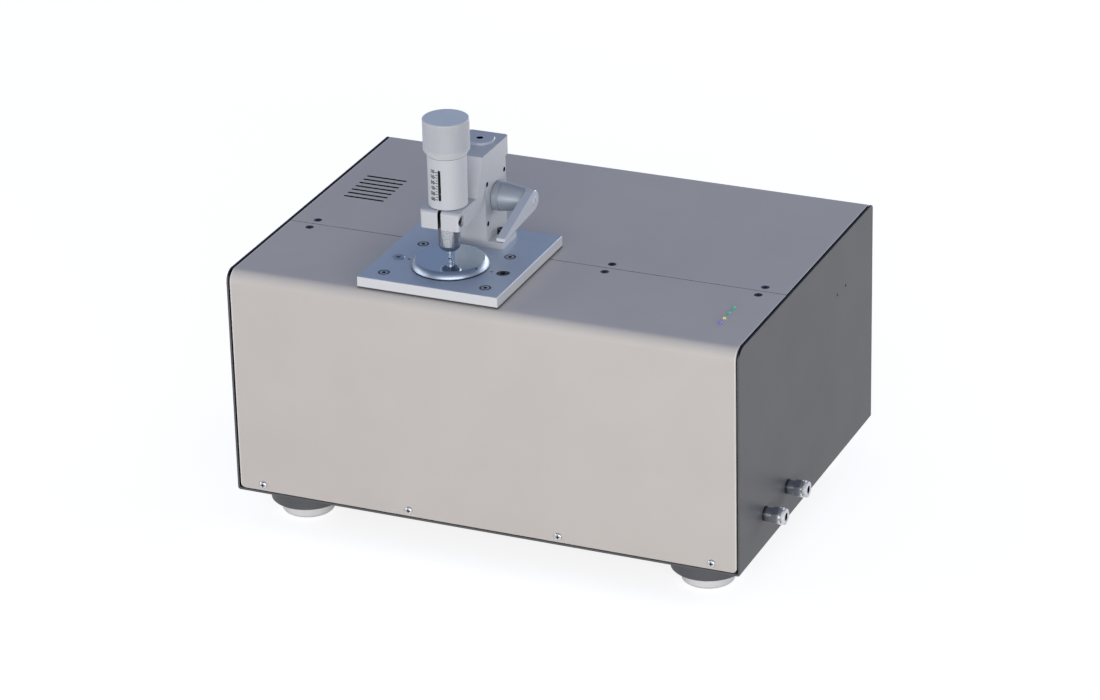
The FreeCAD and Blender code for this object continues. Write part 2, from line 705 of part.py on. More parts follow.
def purge_collet(y):
    z = BASE_Z + FITTING_Z
    start = WALL_X + NECK_LENGTH + COLLET_TRAVEL
    rim = cylinder(COLLET_RIM, COLLET_RIM_X, y, z, COLLET_RIM_LENGTH, X)
    rim = rim.makeFillet(0.5, [e for e in rim.Edges if abs(e.CenterOfMass.x - FITTING_END) < 0.01])
    sleeve = cylinder(COLLET_SLEEVE, start, y, z, COLLET_RIM_X - start, X)
    bore = cylinder(TUBE_BORE, start - 1, y, z, FITTING_END - start + 2, X)
    return joined(rim, sleeve).cut(bore)


# Sampling plate
def plate_screw_places():
    places = [(AXIS_X + x, y) for x, y in PLATE_SCREWS]
    places += [(AXIS_X + side * LOCK_SPREAD, AXIS_FROM_FRONT) for side in (-1, 1)]
    return places


def plate_gasket():
    left = AXIS_X - PLATE_WIDTH / 2 + GASKET_INSET
    right = AXIS_X + PLATE_WIDTH / 2 - GASKET_INSET
    front = FRONT_BEND + GASKET_INSET
    back = PLATE_FRONT + PLATE_DEPTH - GASKET_INSET
    sheet = block(left, right, front, back, TOP_Z, PLATE_BASE)
    cuts = [cylinder(PLATE_SCREW + HOLE_PLAY, x, y, TOP_Z - 1, 3) for x, y in plate_screw_places()]
    cuts.append(beam_opening(TOP_Z - 1, PLATE_BASE + 1))
    return sheet.cut(cuts)


def atr_plate():
    left = AXIS_X - PLATE_WIDTH / 2
    plate = block(left, left + PLATE_WIDTH, PLATE_FRONT, PLATE_FRONT + PLATE_DEPTH, PLATE_BASE, PLATE_TOP)
    plate = plate.makeChamfer(0.35, [e for e in plate.Edges if e.CenterOfMass.z > PLATE_TOP - 0.01])
    cuts = [cylinder(PLATE_BORE, AXIS_X, AXIS_FROM_FRONT, PLATE_BASE - 1, PLATE_THICKNESS + 2)]
    for x, y in plate_screw_places():
        cuts.append(cylinder(PLATE_SCREW + HOLE_PLAY, x, y, PLATE_BASE - 1, PLATE_THICKNESS + 2))
    for x, y in plate_screw_places()[:4]:
        rise = PLATE_HEAD - PLATE_SCREW
        cuts.append(cone(PLATE_SCREW + HOLE_PLAY, PLATE_HEAD + HOLE_PLAY, x, y, PLATE_TOP - rise, rise))
    for x, y in plate_screw_places()[4:]:
        cuts.append(cylinder(LOCK_HEAD + HOLE_PLAY, x, y, PLATE_TOP - 4, 5))
    for side in (-1, 1):
        cuts.append(cylinder(DOWEL_RADIUS, AXIS_X + side * DOWEL_SPREAD, AXIS_FROM_FRONT,
                             PLATE_TOP - DOWEL_DEPTH, DOWEL_DEPTH + 1))
        cuts.append(cylinder(PLATE_SCREW + HOLE_PLAY, AXIS_X + side * FOOT_SCREW_X,
                             POST_FRONT + FOOT_SCREW_FROM_FRONT, PLATE_BASE - 1, PLATE_THICKNESS + 2))
    return plate.cut(cuts)


def atr_plate_screws():
    screws = []
    low = TOP_Z - COVER - 5
    rise = PLATE_HEAD - PLATE_SCREW
    for x, y in plate_screw_places()[:4]:
        shank = cylinder(PLATE_SCREW, x, y, low, PLATE_TOP - rise - low)
        head = cone(PLATE_SCREW, PLATE_HEAD, x, y, PLATE_TOP - rise, rise)
        screws.append(joined(shank, head).cut(hexagon(2.5, x, y, PLATE_TOP - 1.4, 2)))
    return group(screws)


def lock_screw(side, head_top, key):
    x = AXIS_X + side * LOCK_SPREAD
    y = AXIS_FROM_FRONT
    low = TOP_Z - COVER - 5
    seat = PLATE_TOP - 4
    head = cylinder(LOCK_HEAD, x, y, seat, head_top - seat)
    head = head.makeChamfer(0.5, [e for e in head.Edges if abs(e.CenterOfMass.z - head_top) < 0.01])
    screw = joined(head, cylinder(PLATE_SCREW, x, y, low, seat - low))
    return screw.cut(hexagon(key, x, y, head_top - 2.5, 4))


def sample_disc():
    low = PLATE_BASE + 1
    edge = PLATE_TOP + DISC_EDGE
    spigot = PLATE_BORE - HOLE_PLAY
    middle = (DISC_RADIUS * 0.62 + DISC_TOP_RADIUS * 0.38, edge + (DISC_TOP - edge) * 0.55)
    side = Part.Arc(
        Vec(AXIS_X + DISC_RADIUS, AXIS_FROM_FRONT, edge),
        Vec(AXIS_X + middle[0], AXIS_FROM_FRONT, middle[1]),
        Vec(AXIS_X + DISC_TOP_RADIUS, AXIS_FROM_FRONT, DISC_TOP),
    ).toShape()
    outline = [(DISC_TOP_RADIUS, DISC_TOP), (0, DISC_TOP), (0, low), (spigot, low),
               (spigot, PLATE_TOP), (DISC_RADIUS, PLATE_TOP), (DISC_RADIUS, edge)]
    points = [Vec(AXIS_X + r, AXIS_FROM_FRONT, z) for r, z in outline]
    rest = Part.makePolygon(points)
    profile = Part.Face(Part.Wire([side] + rest.Edges))
    disc = profile.revolve(Vec(AXIS_X, AXIS_FROM_FRONT, 0), Z, 360)
    ledge = DISC_TOP - CRYSTAL_DEPTH
    light = cone(14, CRYSTAL_RADIUS - 0.5, AXIS_X, AXIS_FROM_FRONT, low - 0.01, ledge - low + 0.01)
    seat = cylinder(CRYSTAL_RADIUS, AXIS_X, AXIS_FROM_FRONT, ledge, CRYSTAL_DEPTH + 1)
    return disc.cut([light, seat])


def crystal():
    return cylinder(CRYSTAL_RADIUS, AXIS_X, AXIS_FROM_FRONT, DISC_TOP - CRYSTAL_DEPTH, CRYSTAL_DEPTH)


# Clamp post
def side_screw_places():
    half = SIDE_SCREW_PITCH / 2
    for y in (COLUMN_Y - half, COLUMN_Y + half):
        for z in (SIDE_COVER_MIDDLE - half, SIDE_COVER_MIDDLE + half):
            yield y, z


def foot_screw_places():
    for side in (-1, 1):
        yield AXIS_X + side * FOOT_SCREW_X, POST_FRONT + FOOT_SCREW_FROM_FRONT


def clamp_post():
    back = POST_FRONT + POST_DEPTH
    column = block(POST_LEFT, POST_RIGHT, POST_FRONT, back, PLATE_TOP, POST_TOP)
    half = FOOT_PLATE_WIDTH / 2
    foot = block(AXIS_X - half, AXIS_X + half, POST_FRONT, POST_FRONT + FOOT_PLATE_DEPTH,
                 PLATE_TOP, PLATE_TOP + FOOT_PLATE_THICKNESS)
    foot = rounded(foot, 2, lambda e, m: along(e, Z) and m.y > POST_FRONT + 1)
    post = joined(column, foot)
    post = rounded(post, 1, lambda e, m: along(e, Z) and m.y > back - 0.1)
    pocket_half = YOKE_HALF + FREE
    pocket = block(POST_LEFT - 1, POCKET_RIGHT, COLUMN_Y - pocket_half, COLUMN_Y + pocket_half,
                   POCKET_LOW, POCKET_HIGH)
    pocket = rounded(pocket, YOKE_ROUND + FREE, lambda e, m: along(e, X))
    cuts = [
        pocket,
        cylinder(COLUMN_RADIUS + RUNNING, AXIS_X, COLUMN_Y, YOKE_TOP - FREE, POST_TOP - YOKE_TOP + 1),
        cylinder(JOURNAL + RUNNING, POCKET_RIGHT - 1, COLUMN_Y, CAM_AXIS_Z, POST_WIDTH, X),
    ]
    for y, z in side_screw_places():
        cuts.append(cylinder(SIDE_SCREW + HOLE_PLAY, POST_LEFT - 1, y, z, POST_WIDTH + 2, X))
    for x, y in foot_screw_places():
        cuts.append(cylinder(PLATE_SCREW + HOLE_PLAY, x, y, PLATE_TOP - 1, FOOT_PLATE_THICKNESS + 2))
    return post.cut(cuts)


def post_foot_screws():
    screws = []
    seat = PLATE_TOP + FOOT_PLATE_THICKNESS
    low = PLATE_BASE + 1
    for x, y in foot_screw_places():
        head = cylinder(3.5, x, y, seat, 4)
        head = head.makeFillet(0.4, [e for e in head.Edges if abs(e.CenterOfMass.z - seat - 4) < 0.01])
        screw = joined(head, cylinder(PLATE_SCREW, x, y, low, seat - low))
        screws.append(screw.cut(hexagon(3, x, y, seat + 2, 3)))
    return group(screws)


def post_side_cover():
    left = POST_LEFT - SIDE_COVER
    half = SIDE_SCREW_PITCH / 2 + 3.4
    plate = block(left, POST_LEFT, COLUMN_Y - half, COLUMN_Y + half,
                  SIDE_COVER_MIDDLE - half, SIDE_COVER_MIDDLE + half)
    plate = rounded(plate, 3, lambda e, m: along(e, X))
    boss_end = AXIS_X - YOKE_WIDTH / 2 - FREE
    boss = cylinder(7.2, POST_LEFT - 0.5, COLUMN_Y, CAM_AXIS_Z, boss_end - POST_LEFT + 0.5, X)
    cover = joined(plate, boss)
    cuts = [cylinder(INNER_JOURNAL + RUNNING, POST_LEFT - 1.2, COLUMN_Y, CAM_AXIS_Z, POST_WIDTH / 2, X)]
    for y, z in side_screw_places():
        cuts.append(cylinder(SIDE_SCREW + HOLE_PLAY, left - 1, y, z, SIDE_COVER + 2, X))
        cuts.append(cylinder(2 * SIDE_SCREW + HOLE_PLAY, left - 1, y, z, 2.4, X))
    return cover.cut(cuts)


def post_side_screws():
    screws = []
    left = POST_LEFT - SIDE_COVER
    for y, z in side_screw_places():
        head = cylinder(2 * SIDE_SCREW, left, y, z, 1.4, X)
        shank = cylinder(SIDE_SCREW, left + 1.4, y, z, POST_WIDTH + SIDE_COVER - 1.4 - 1, X)
        screws.append(joined(head, shank).cut(hexagon(2, left - 0.01, y, z, 0.9, X)))
    return group(screws)


# Cam and lift column
def cam_point(angle):
    """A point of the cam's outline, by degrees from the top towards the front at rest. A flat
    bar that touches it there stands off the axis by a reach that grows evenly with the angle.
    Opposite reaches add up to one breadth, so the yoke's two bars hold the cam at every angle."""
    turn = math.radians(angle)
    outward = Vec(0, -math.sin(turn), math.cos(turn))
    onward = Vec(0, -math.cos(turn), -math.sin(turn))
    reach = CAM_LOW + CAM_LIFT * angle / CAM_TURN
    rise = CAM_RISE
    if angle > CAM_TURN:
        reach = CAM_HIGH - CAM_LIFT * (angle - 180) / CAM_TURN
        rise = -CAM_RISE
    return Vec(0, COLUMN_Y, CAM_AXIS_Z) + outward * reach + onward * rise


def cam_flank(first):
    steps = 6
    last = math.radians(first + CAM_TURN)
    start = math.radians(first)
    curve = Part.BSplineCurve()
    curve.interpolate(
        Points=[cam_point(first + CAM_TURN * step / steps) for step in range(steps + 1)],
        InitialTangent=Vec(0, -math.cos(start), -math.sin(start)),
        FinalTangent=Vec(0, -math.cos(last), -math.sin(last)),
    )
    return curve.toShape()


def cam_outline():
    slant = Vec(0, math.sqrt(0.5), math.sqrt(0.5))
    centre = Vec(0, COLUMN_Y - CAM_RISE, CAM_AXIS_Z - CAM_RISE)
    far_middle = centre - slant * (CAM_HIGH - CAM_RISE)
    near_middle = centre + slant * (CAM_LOW + CAM_RISE)
    far_arc = Part.Arc(cam_point(CAM_TURN), far_middle, cam_point(180)).toShape()
    near_arc = Part.Arc(cam_point(180 + CAM_TURN), near_middle, cam_point(0)).toShape()
    return Part.Wire([cam_flank(0), far_arc, cam_flank(180), near_arc])


def cam_shaft():
    left = AXIS_X - CAM_WIDTH / 2
    cam = Part.Face(cam_outline())
    cam.translate(Vec(left, 0, 0))
    cam = cam.extrude(Vec(CAM_WIDTH, 0, 0))
    tail = POST_LEFT - 0.9
    right = left + CAM_WIDTH
    spindle_end = LEVER_LEFT + LEVER_WIDTH / 2
    shaft = joined(
        cam,
        cylinder(INNER_JOURNAL, tail, COLUMN_Y, CAM_AXIS_Z, left - tail + 0.5, X),
        cylinder(CAM_LOW - 0.2, right - 0.5, COLUMN_Y, CAM_AXIS_Z, 1.5, X),
        cylinder(JOURNAL, POCKET_RIGHT + FREE, COLUMN_Y, CAM_AXIS_Z, HUB_LEFT - POCKET_RIGHT - FREE, X),
        cylinder(SPINDLE, HUB_LEFT, COLUMN_Y, CAM_AXIS_Z, spindle_end - HUB_LEFT, X),
    )
    return shaft.cut(cylinder(SPINDLE / 2, spindle_end - 8, COLUMN_Y, CAM_AXIS_Z, 9, X))


def cam_hub():
    ring = cylinder(HUB_RADIUS, HUB_LEFT, COLUMN_Y, CAM_AXIS_Z, HUB_RING, X)
    ring = ring.makeChamfer(0.3, ring.Edges)
    taper = cone(HUB_RADIUS - 0.2, HUB_END_RADIUS, HUB_LEFT + HUB_RING, COLUMN_Y, CAM_AXIS_Z, HUB_CONE, X)
    bore = cylinder(SPINDLE, HUB_LEFT - 1, COLUMN_Y, CAM_AXIS_Z, HUB_RING + HUB_CONE + 2, X)
    return joined(ring, taper).cut(bore)


def tangent_point(point, upper):
    """Where a line from the lever's tip touches its round eye."""
    dy = point[0] - COLUMN_Y
    dz = point[1] - CAM_AXIS_Z
    reach = math.hypot(dy, dz)
    lean = math.atan2(dz, dy)
    spread = math.acos(LEVER_EYE / reach)
    angle = lean - spread if upper else lean + spread
    return COLUMN_Y + LEVER_EYE * math.cos(angle), CAM_AXIS_Z + LEVER_EYE * math.sin(angle)


def cam_lever():
    tip_y = COLUMN_Y - LEVER_REACH
    tip_low = CAM_AXIS_Z - LEVER_TIP_DROP
    low = (tip_y, tip_low)
    high = (tip_y, tip_low + LEVER_TIP)
    outline = [low, tangent_point(low, False), (COLUMN_Y, CAM_AXIS_Z), tangent_point(high, True), high]
    blade = prism_x(outline, LEVER_LEFT, LEVER_RIGHT)
    eye = cylinder(LEVER_EYE, LEVER_LEFT, COLUMN_Y, CAM_AXIS_Z, LEVER_WIDTH, X)
    lever = joined(blade, eye)
    rim = [e for e in lever.Edges if abs(e.CenterOfMass.x - LEVER_RIGHT) < 0.01]
    rim += [e for e in lever.Edges if abs(e.CenterOfMass.x - LEVER_LEFT) < 0.01]
    lever = lever.makeChamfer(LEVER_CHAMFER, rim)
    return lever.cut([
        cylinder(SPINDLE, LEVER_LEFT - 1, COLUMN_Y, CAM_AXIS_Z, LEVER_WIDTH / 2 + 1, X),
        cylinder(SPINDLE / 2, LEVER_LEFT, COLUMN_Y, CAM_AXIS_Z, LEVER_WIDTH + 1, X),
        cylinder(SPINDLE / 2 + 1, LEVER_RIGHT - 1.2, COLUMN_Y, CAM_AXIS_Z, 2, X),
    ])


def lever_screw():
    seat = LEVER_RIGHT - 1.2
    head = cylinder(SPINDLE / 2 + 0.9, seat, COLUMN_Y, CAM_AXIS_Z, 1.6, X)
    head = head.makeFillet(0.4, [e for e in head.Edges if e.CenterOfMass.x > seat + 1.5])
    shank_end = LEVER_LEFT - 3
    shank = cylinder(SPINDLE / 2 - 0.02, shank_end, COLUMN_Y, CAM_AXIS_Z, seat - shank_end, X)
    return joined(head, shank).cut(hexagon(2, seat + 0.8, COLUMN_Y, CAM_AXIS_Z, 1, X))


def lift_yoke():
    left = AXIS_X - YOKE_WIDTH / 2
    right = AXIS_X + YOKE_WIDTH / 2
    frame = block(left, right, COLUMN_Y - YOKE_HALF, COLUMN_Y + YOKE_HALF, YOKE_LOW - YOKE_BAR, YOKE_TOP)
    frame = rounded(frame, YOKE_ROUND, lambda e, m: along(e, X))
    window_half = YOKE_HALF - YOKE_SIDE
    window = block(left - 1, right + 1, COLUMN_Y - window_half, COLUMN_Y + window_half, YOKE_LOW, YOKE_HIGH)
    return frame.cut([window, cylinder(YOKE_STUB, AXIS_X, COLUMN_Y, YOKE_HIGH - 1, YOKE_BAR + 2)])


def lift_column():
    shaft = cylinder(COLUMN_RADIUS, AXIS_X, COLUMN_Y, YOKE_TOP, HEAD_TOP - 0.5 - YOKE_TOP)
    stub = cylinder(YOKE_STUB, AXIS_X, COLUMN_Y, YOKE_HIGH, YOKE_BAR + 1)
    thread = cylinder(CAP_SHANK, AXIS_X, COLUMN_Y, HEAD_TOP - 14, 15)
    return joined(shaft, stub).cut(thread)


def column_cap():
    disc = cylinder(CAP_RADIUS, AXIS_X, COLUMN_Y, HEAD_TOP, CAP_HEIGHT)
    top = HEAD_TOP + CAP_HEIGHT
    disc = disc.makeChamfer(0.35, [e for e in disc.Edges if e.CenterOfMass.z > top - 0.01])
    shank = cylinder(CAP_SHANK - 0.02, AXIS_X, COLUMN_Y, HEAD_TOP - 12, 12)
    return joined(disc, shank).cut(hexagon(HEX_KEY, AXIS_X, COLUMN_Y, HEAD_TOP - 3, 5))


# Clamp arm
def clamp_arm():
    outline = [
        (ARM_FRONT, ARM_LOW), (ARM_BOTTOM_END, ARM_LOW), (HEAD_UNDER_FRONT, HEAD_LOW),
        (HEAD_BACK, HEAD_LOW), (HEAD_BACK, HEAD_TOP), (HEAD_FRONT, HEAD_TOP),
        (ARM_TOP_END, ARM_TOP), (ARM_FRONT, ARM_TOP),
    ]
    left = AXIS_X - ARM_WIDTH / 2
    right = AXIS_X + ARM_WIDTH / 2
    arm = prism_x(outline, left, right)
    arm = rounded(arm, 3, lambda e, m: along(e, Z) and m.y > HEAD_BACK - 0.1)
    arm = rounded(arm, ARM_EDGE, lambda e, m: m.y < ARM_FRONT + 0.1 and m.z > ARM_LOW + 0.1)
    axis_y = AXIS_FROM_FRONT
    screw_z = ARM_LOW + ARM_THICKNESS / 2
    seat = right - CLAMP_SEAT_DEPTH
    return arm.cut([
        cylinder(NOSE_RADIUS, AXIS_X, axis_y, ARM_LOW - 1, ARM_THICKNESS + 2),
        block(AXIS_X - SLIT / 2, AXIS_X + SLIT / 2, ARM_FRONT - 1, axis_y, ARM_LOW - 1, ARM_TOP + 1),
        cylinder(CLAMP_SCREW + HOLE_PLAY, left + 3, CLAMP_SCREW_FROM_FRONT, screw_z, ARM_WIDTH, X),
        cylinder(CLAMP_SEAT, seat, CLAMP_SCREW_FROM_FRONT, screw_z, 2 * CLAMP_SEAT_DEPTH, X),
        cylinder(COLUMN_RADIUS, AXIS_X, COLUMN_Y, HEAD_LOW - 1, HEAD_THICKNESS + 2),
    ])


def arm_clamp_screw():
    seat = AXIS_X + ARM_WIDTH / 2 - CLAMP_SEAT_DEPTH
    screw_z = ARM_LOW + ARM_THICKNESS / 2
    head = cylinder(CLAMP_HEAD, seat, CLAMP_SCREW_FROM_FRONT, screw_z, 3.5, X)
    left = AXIS_X - ARM_WIDTH / 2 + 4
    shank = cylinder(CLAMP_SCREW, left, CLAMP_SCREW_FROM_FRONT, screw_z, seat - left, X)
    return joined(head, shank).cut(hexagon(3, seat + 1.5, CLAMP_SCREW_FROM_FRONT, screw_z, 3, X))


# Load sleeve, nose, knob and anvil
def guide_nose():
    nose = cylinder(NOSE_RADIUS, AXIS_X, AXIS_FROM_FRONT, NOSE_LOW, ARM_TOP + 1 - NOSE_LOW)
    nose = nose.makeFillet(NOSE_ROUND, [e for e in nose.Edges if abs(e.CenterOfMass.z - NOSE_LOW) < 0.01])
    flange = cylinder(SLEEVE_BORE, AXIS_X, AXIS_FROM_FRONT, ARM_TOP, NOSE_FLANGE)
    return joined(nose, flange).cut([
        cylinder(ROD_RADIUS + RUNNING, AXIS_X, AXIS_FROM_FRONT, NOSE_LOW - 1, NOSE_FLOOR + 2),
        cylinder(NOSE_BORE, AXIS_X, AXIS_FROM_FRONT, NOSE_LOW + NOSE_FLOOR, ARM_TOP + NOSE_FLANGE),
    ])


def load_sleeve():
    hole = LEAD_SCREW + RUNNING
    roof = NECK_TOP - SLEEVE_ROOF
    outline = [
        (SLEEVE_BORE, ARM_TOP), (SLEEVE_RADIUS - 0.6, ARM_TOP), (SLEEVE_RADIUS, ARM_TOP + 0.6),
        (SLEEVE_RADIUS, SLEEVE_TOP), (NECK_RADIUS, SLEEVE_TOP), (NECK_RADIUS, NECK_TOP),
        (hole, NECK_TOP), (hole, roof), (SLEEVE_BORE, roof),
    ]
    sleeve = turned(outline, AXIS_X, AXIS_FROM_FRONT)
    half = SLOT_WIDTH / 2
    front = AXIS_FROM_FRONT - SLEEVE_RADIUS - 1
    low = ARM_TOP + SLOT_LOW + half
    high = ARM_TOP + SLOT_HIGH - half
    slot = block(AXIS_X - half, AXIS_X + half, front, AXIS_FROM_FRONT, low, high)
    ends = [cylinder(half, AXIS_X, front, z, SLEEVE_RADIUS, Y) for z in (low, high)]
    return sleeve.cut(joined(slot, *ends))


def pressure_knob():
    wide = KNOB_LOW + KNOB_CONE
    ceiling = NECK_TOP + FREE
    outline = [
        (KNOB_BORE, KNOB_LOW), (KNOB_MOUTH, KNOB_LOW), (KNOB_RADIUS, wide), (KNOB_RADIUS, KNOB_TOP - 0.5),
        (KNOB_RADIUS - 0.5, KNOB_TOP), (0, KNOB_TOP), (0, KNOB_TOP - KNOB_CAP),
        (LEAD_SCREW, KNOB_TOP - KNOB_CAP), (LEAD_SCREW, ceiling), (KNOB_BORE, ceiling),
    ]
    return turned(outline, AXIS_X, AXIS_FROM_FRONT)


def lead_screw():
    low = NUT_LOW - 4
    screw = cylinder(LEAD_SCREW, AXIS_X, AXIS_FROM_FRONT, low, KNOB_TOP - KNOB_CAP - low)
    collar_top = NECK_TOP - SLEEVE_ROOF - FREE
    collar = cylinder(2 * LEAD_SCREW, AXIS_X, AXIS_FROM_FRONT, collar_top - 2.2, 2.2)
    return joined(screw, collar)


def load_nut():
    nut = cylinder(NUT_RADIUS, AXIS_X, AXIS_FROM_FRONT, NUT_LOW, NUT_HEIGHT)
    front = AXIS_FROM_FRONT - SLEEVE_RADIUS + 0.2
    pointer = cylinder(POINTER, AXIS_X, front, POINTER_HEIGHT, SLEEVE_RADIUS / 2, Y)
    bore = cylinder(LEAD_SCREW + RUNNING, AXIS_X, AXIS_FROM_FRONT, NUT_LOW - 1, NUT_HEIGHT + 2)
    return joined(nut, pointer).cut(bore)


def anvil_rod():
    low = NOSE_LOW - ROD_DROP
    rod = cylinder(ROD_RADIUS, AXIS_X, AXIS_FROM_FRONT, low, ROD_HEAD_LOW - low)
    head = cylinder(ROD_HEAD, AXIS_X, AXIS_FROM_FRONT, ROD_HEAD_LOW, ROD_HEAD_HEIGHT)
    rod = rod.makeChamfer(0.4, [e for e in rod.Edges if abs(e.CenterOfMass.z - low) < 0.01])
    return joined(rod, head)


def anvil_tip():
    top = NOSE_LOW - ROD_DROP
    tip = cylinder(TIP_RADIUS, AXIS_X, AXIS_FROM_FRONT, TIP_LOW, top - TIP_LOW)
    return tip.makeChamfer(0.3, [e for e in tip.Edges if abs(e.CenterOfMass.z - TIP_LOW) < 0.01])


def load_spring():
    low = ROD_HEAD_LOW + ROD_HEAD_HEIGHT
    length = NUT_LOW - low - 0.1
    radius = NOSE_BORE - 1.0
    pitch = (length - SPRING_WIRE) / SPRING_TURNS
    helix = Part.makeHelix(pitch, length - SPRING_WIRE, radius)
    half = SPRING_WIRE / 2
    corners = [Vec(radius - half, 0, -half), Vec(radius + half, 0, -half),
               Vec(radius + half, 0, half), Vec(radius - half, 0, half)]
    section = Part.makePolygon(corners + corners[:1])
    coil = Part.Wire(helix.Edges).makePipeShell([section], True, True)
    coil.translate(Vec(AXIS_X, AXIS_FROM_FRONT, low + half))
    return coil


# Optics
def optics_bed():
    low = OPTICS_Z - OPTICS_THICKNESS
    plate = block(OPTICS_LEFT, OPTICS_LEFT + OPTICS_WIDTH, OPTICS_FRONT, OPTICS_FRONT + OPTICS_DEPTH,
                  low, OPTICS_Z)
    return rounded(plate, 6, lambda e, m: along(e, Z))


def optics_plate():
    """A cast plate on four legs, with the rail for the moving mirror machined on it."""
    legs = []
    for x in (OPTICS_LEFT + LEG_INSET, OPTICS_LEFT + OPTICS_WIDTH - LEG_INSET):
        for y in (OPTICS_FRONT + LEG_INSET, OPTICS_FRONT + OPTICS_DEPTH - LEG_INSET):
            legs.append(cylinder(LEG_RADIUS, x, y, FLOOR_Z, LEG_HEIGHT + 1))
    y = scan_rail_start()
    guide = block(BLOCK_X - SCAN_RAIL_HALF, BLOCK_X + SCAN_RAIL_HALF, y, y + SCAN_RAIL_LENGTH,
                  OPTICS_Z - 1, OPTICS_Z + SCAN_RAIL_HEIGHT)
    return joined(optics_bed(), guide, *legs)


def beamsplitter_block():
    half = BLOCK_SIZE / 2
    x = BLOCK_X
    y = BLOCK_FROM_FRONT
    body = block(x - half, x + half, y - half, y + half, OPTICS_Z, OPTICS_Z + BLOCK_HEIGHT)
    body = rounded(body, 4, lambda e, m: along(e, Z))
    slot_low = BEAM_Z - SPLITTER_RADIUS - HOLE_PLAY
    reach = SPLITTER_RADIUS + 3
    thick = SPLITTER_THICKNESS / 2 + HOLE_PLAY
    slot = block(-reach, reach, -thick, thick, slot_low, OPTICS_Z + BLOCK_HEIGHT + 1)
    slot.rotate(Vec(0, 0, 0), Z, 45)
    slot.translate(Vec(x, y, 0))
    return body.cut([
        cylinder(BEAM_BORE, x - half - 1, y, BEAM_Z, BLOCK_SIZE + 2, X),
        cylinder(BEAM_BORE, x, y - half - 1, BEAM_Z, BLOCK_SIZE + 2, Y),
        slot,
    ])


def beamsplitter():
    disc = cylinder(SPLITTER_RADIUS, 0, -SPLITTER_THICKNESS / 2, BEAM_Z, SPLITTER_THICKNESS, Y)
    disc.rotate(Vec(0, 0, 0), Z, 45)
    disc.translate(Vec(BLOCK_X, BLOCK_FROM_FRONT, 0))
    return disc


def fixed_mirror():
    """A metal mirror with its face turned into an upright plate on three adjusting feet."""
    left = BLOCK_X + BLOCK_SIZE / 2
    half = 22
    y = BLOCK_FROM_FRONT
    plate = block(left, left + 7, y - half, y + half, OPTICS_Z, BEAM_Z + half)
    feet = ((-17, 17), (17, 17), (17, -17))
    adjusters = [cylinder(2.5, left + 7, y + dy, BEAM_Z + dz, 9, X) for dy, dz in feet]
    face = cylinder(MIRROR_RADIUS, left - 1, y, BEAM_Z, 2, X)
    return joined(plate, *adjusters).cut(face)


def scan_rail_start():
    return BLOCK_FROM_FRONT + BLOCK_SIZE / 2 + 2


def scan_carriage():
    y = scan_rail_start() + SCAN_STROKE + 1
    low = OPTICS_Z + FREE
    back = y + CARRIAGE_LENGTH
    saddle = block(BLOCK_X - 16, BLOCK_X + 16, y, back, low, BEAM_Z + 16)
    coil = cylinder(COIL_RADIUS, BLOCK_X, back - 1, BEAM_Z, COIL_LENGTH + 1, Y)
    side = SCAN_RAIL_HALF + RUNNING
    rail_top = OPTICS_Z + SCAN_RAIL_HEIGHT + FREE
    return joined(saddle, coil).cut([
        block(BLOCK_X - side, BLOCK_X + side, y - 1, back + 1, low - 1, rail_top),
        cylinder(MIRROR_RADIUS, BLOCK_X, y - 1, BEAM_Z, 2, Y),
        cylinder(COIL_RADIUS - 1.5, BLOCK_X, back + 1, BEAM_Z, COIL_LENGTH, Y),
    ])


def coil_magnet():
    front = scan_rail_start() + 2 * SCAN_STROKE + 1 + CARRIAGE_LENGTH + 2
    depth = COIL_LENGTH + 1.5
    cup = cylinder(COIL_RADIUS + 5, BLOCK_X, front, BEAM_Z, depth + 4, Y)
    gap = cylinder(COIL_RADIUS + 2 * FREE, BLOCK_X, front - 1, BEAM_Z, depth + 1, Y)
    core = cylinder(COIL_RADIUS - 1.5 - 2 * FREE, BLOCK_X, front, BEAM_Z, depth + 1, Y)
    top = BEAM_Z - COIL_RADIUS - 3
    foot = block(BLOCK_X - 12, BLOCK_X + 12, front + 4, front + depth + 2, OPTICS_Z, top)
    return joined(cup.cut(gap), core, foot)


def source_place():
    return VENT_X, VENT_FROM_FRONT + VENT_PITCH * (VENT_COUNT - 1) / 2


def ir_source():
    x, y = source_place()
    half = SOURCE_HALF
    body = block(x - half, x + half, y - 12, y + half - 1, OPTICS_Z, BEAM_Z + half - 1)
    fins = []
    for row in range(6):
        start = y - 12 + 5 * row
        fins.append(block(x - half, x + half, start, start + 2, BEAM_Z + half - 2, BEAM_Z + SOURCE_FIN_TOP))
    mouth = cylinder(9, x, y - 13, BEAM_Z, 12, Y)
    return joined(body, *fins).cut(mouth)


def mirror_seat(x, y):
    """A post whose upright face stands at 45 degrees between two beams at right angles."""
    post = block(-14, 14, 0, 12, OPTICS_Z, BEAM_Z + 17)
    post.rotate(Vec(0, 0, 0), Z, 45)
    post.translate(Vec(x, y, 0))
    return post


def collimator():
    x, y = source_place()
    seat = mirror_seat(x, BLOCK_FROM_FRONT)
    seat.rotate(Vec(x, BLOCK_FROM_FRONT, 0), Z, 90)
    hollow = cylinder(MIRROR_RADIUS, x, BLOCK_FROM_FRONT, BEAM_Z, 2.5, Vec(-1, -1, 0))
    return seat.cut(hollow)


def reference_laser():
    x = AXIS_X + LASER_FROM_AXIS
    y = BLOCK_FROM_FRONT
    tube = cylinder(8, x, y, BEAM_Z, LASER_LENGTH, X)
    stand = block(x + 10, x + LASER_LENGTH - 10, y - 12, y + 12, OPTICS_Z, BEAM_Z + 12)
    return joined(tube, stand)


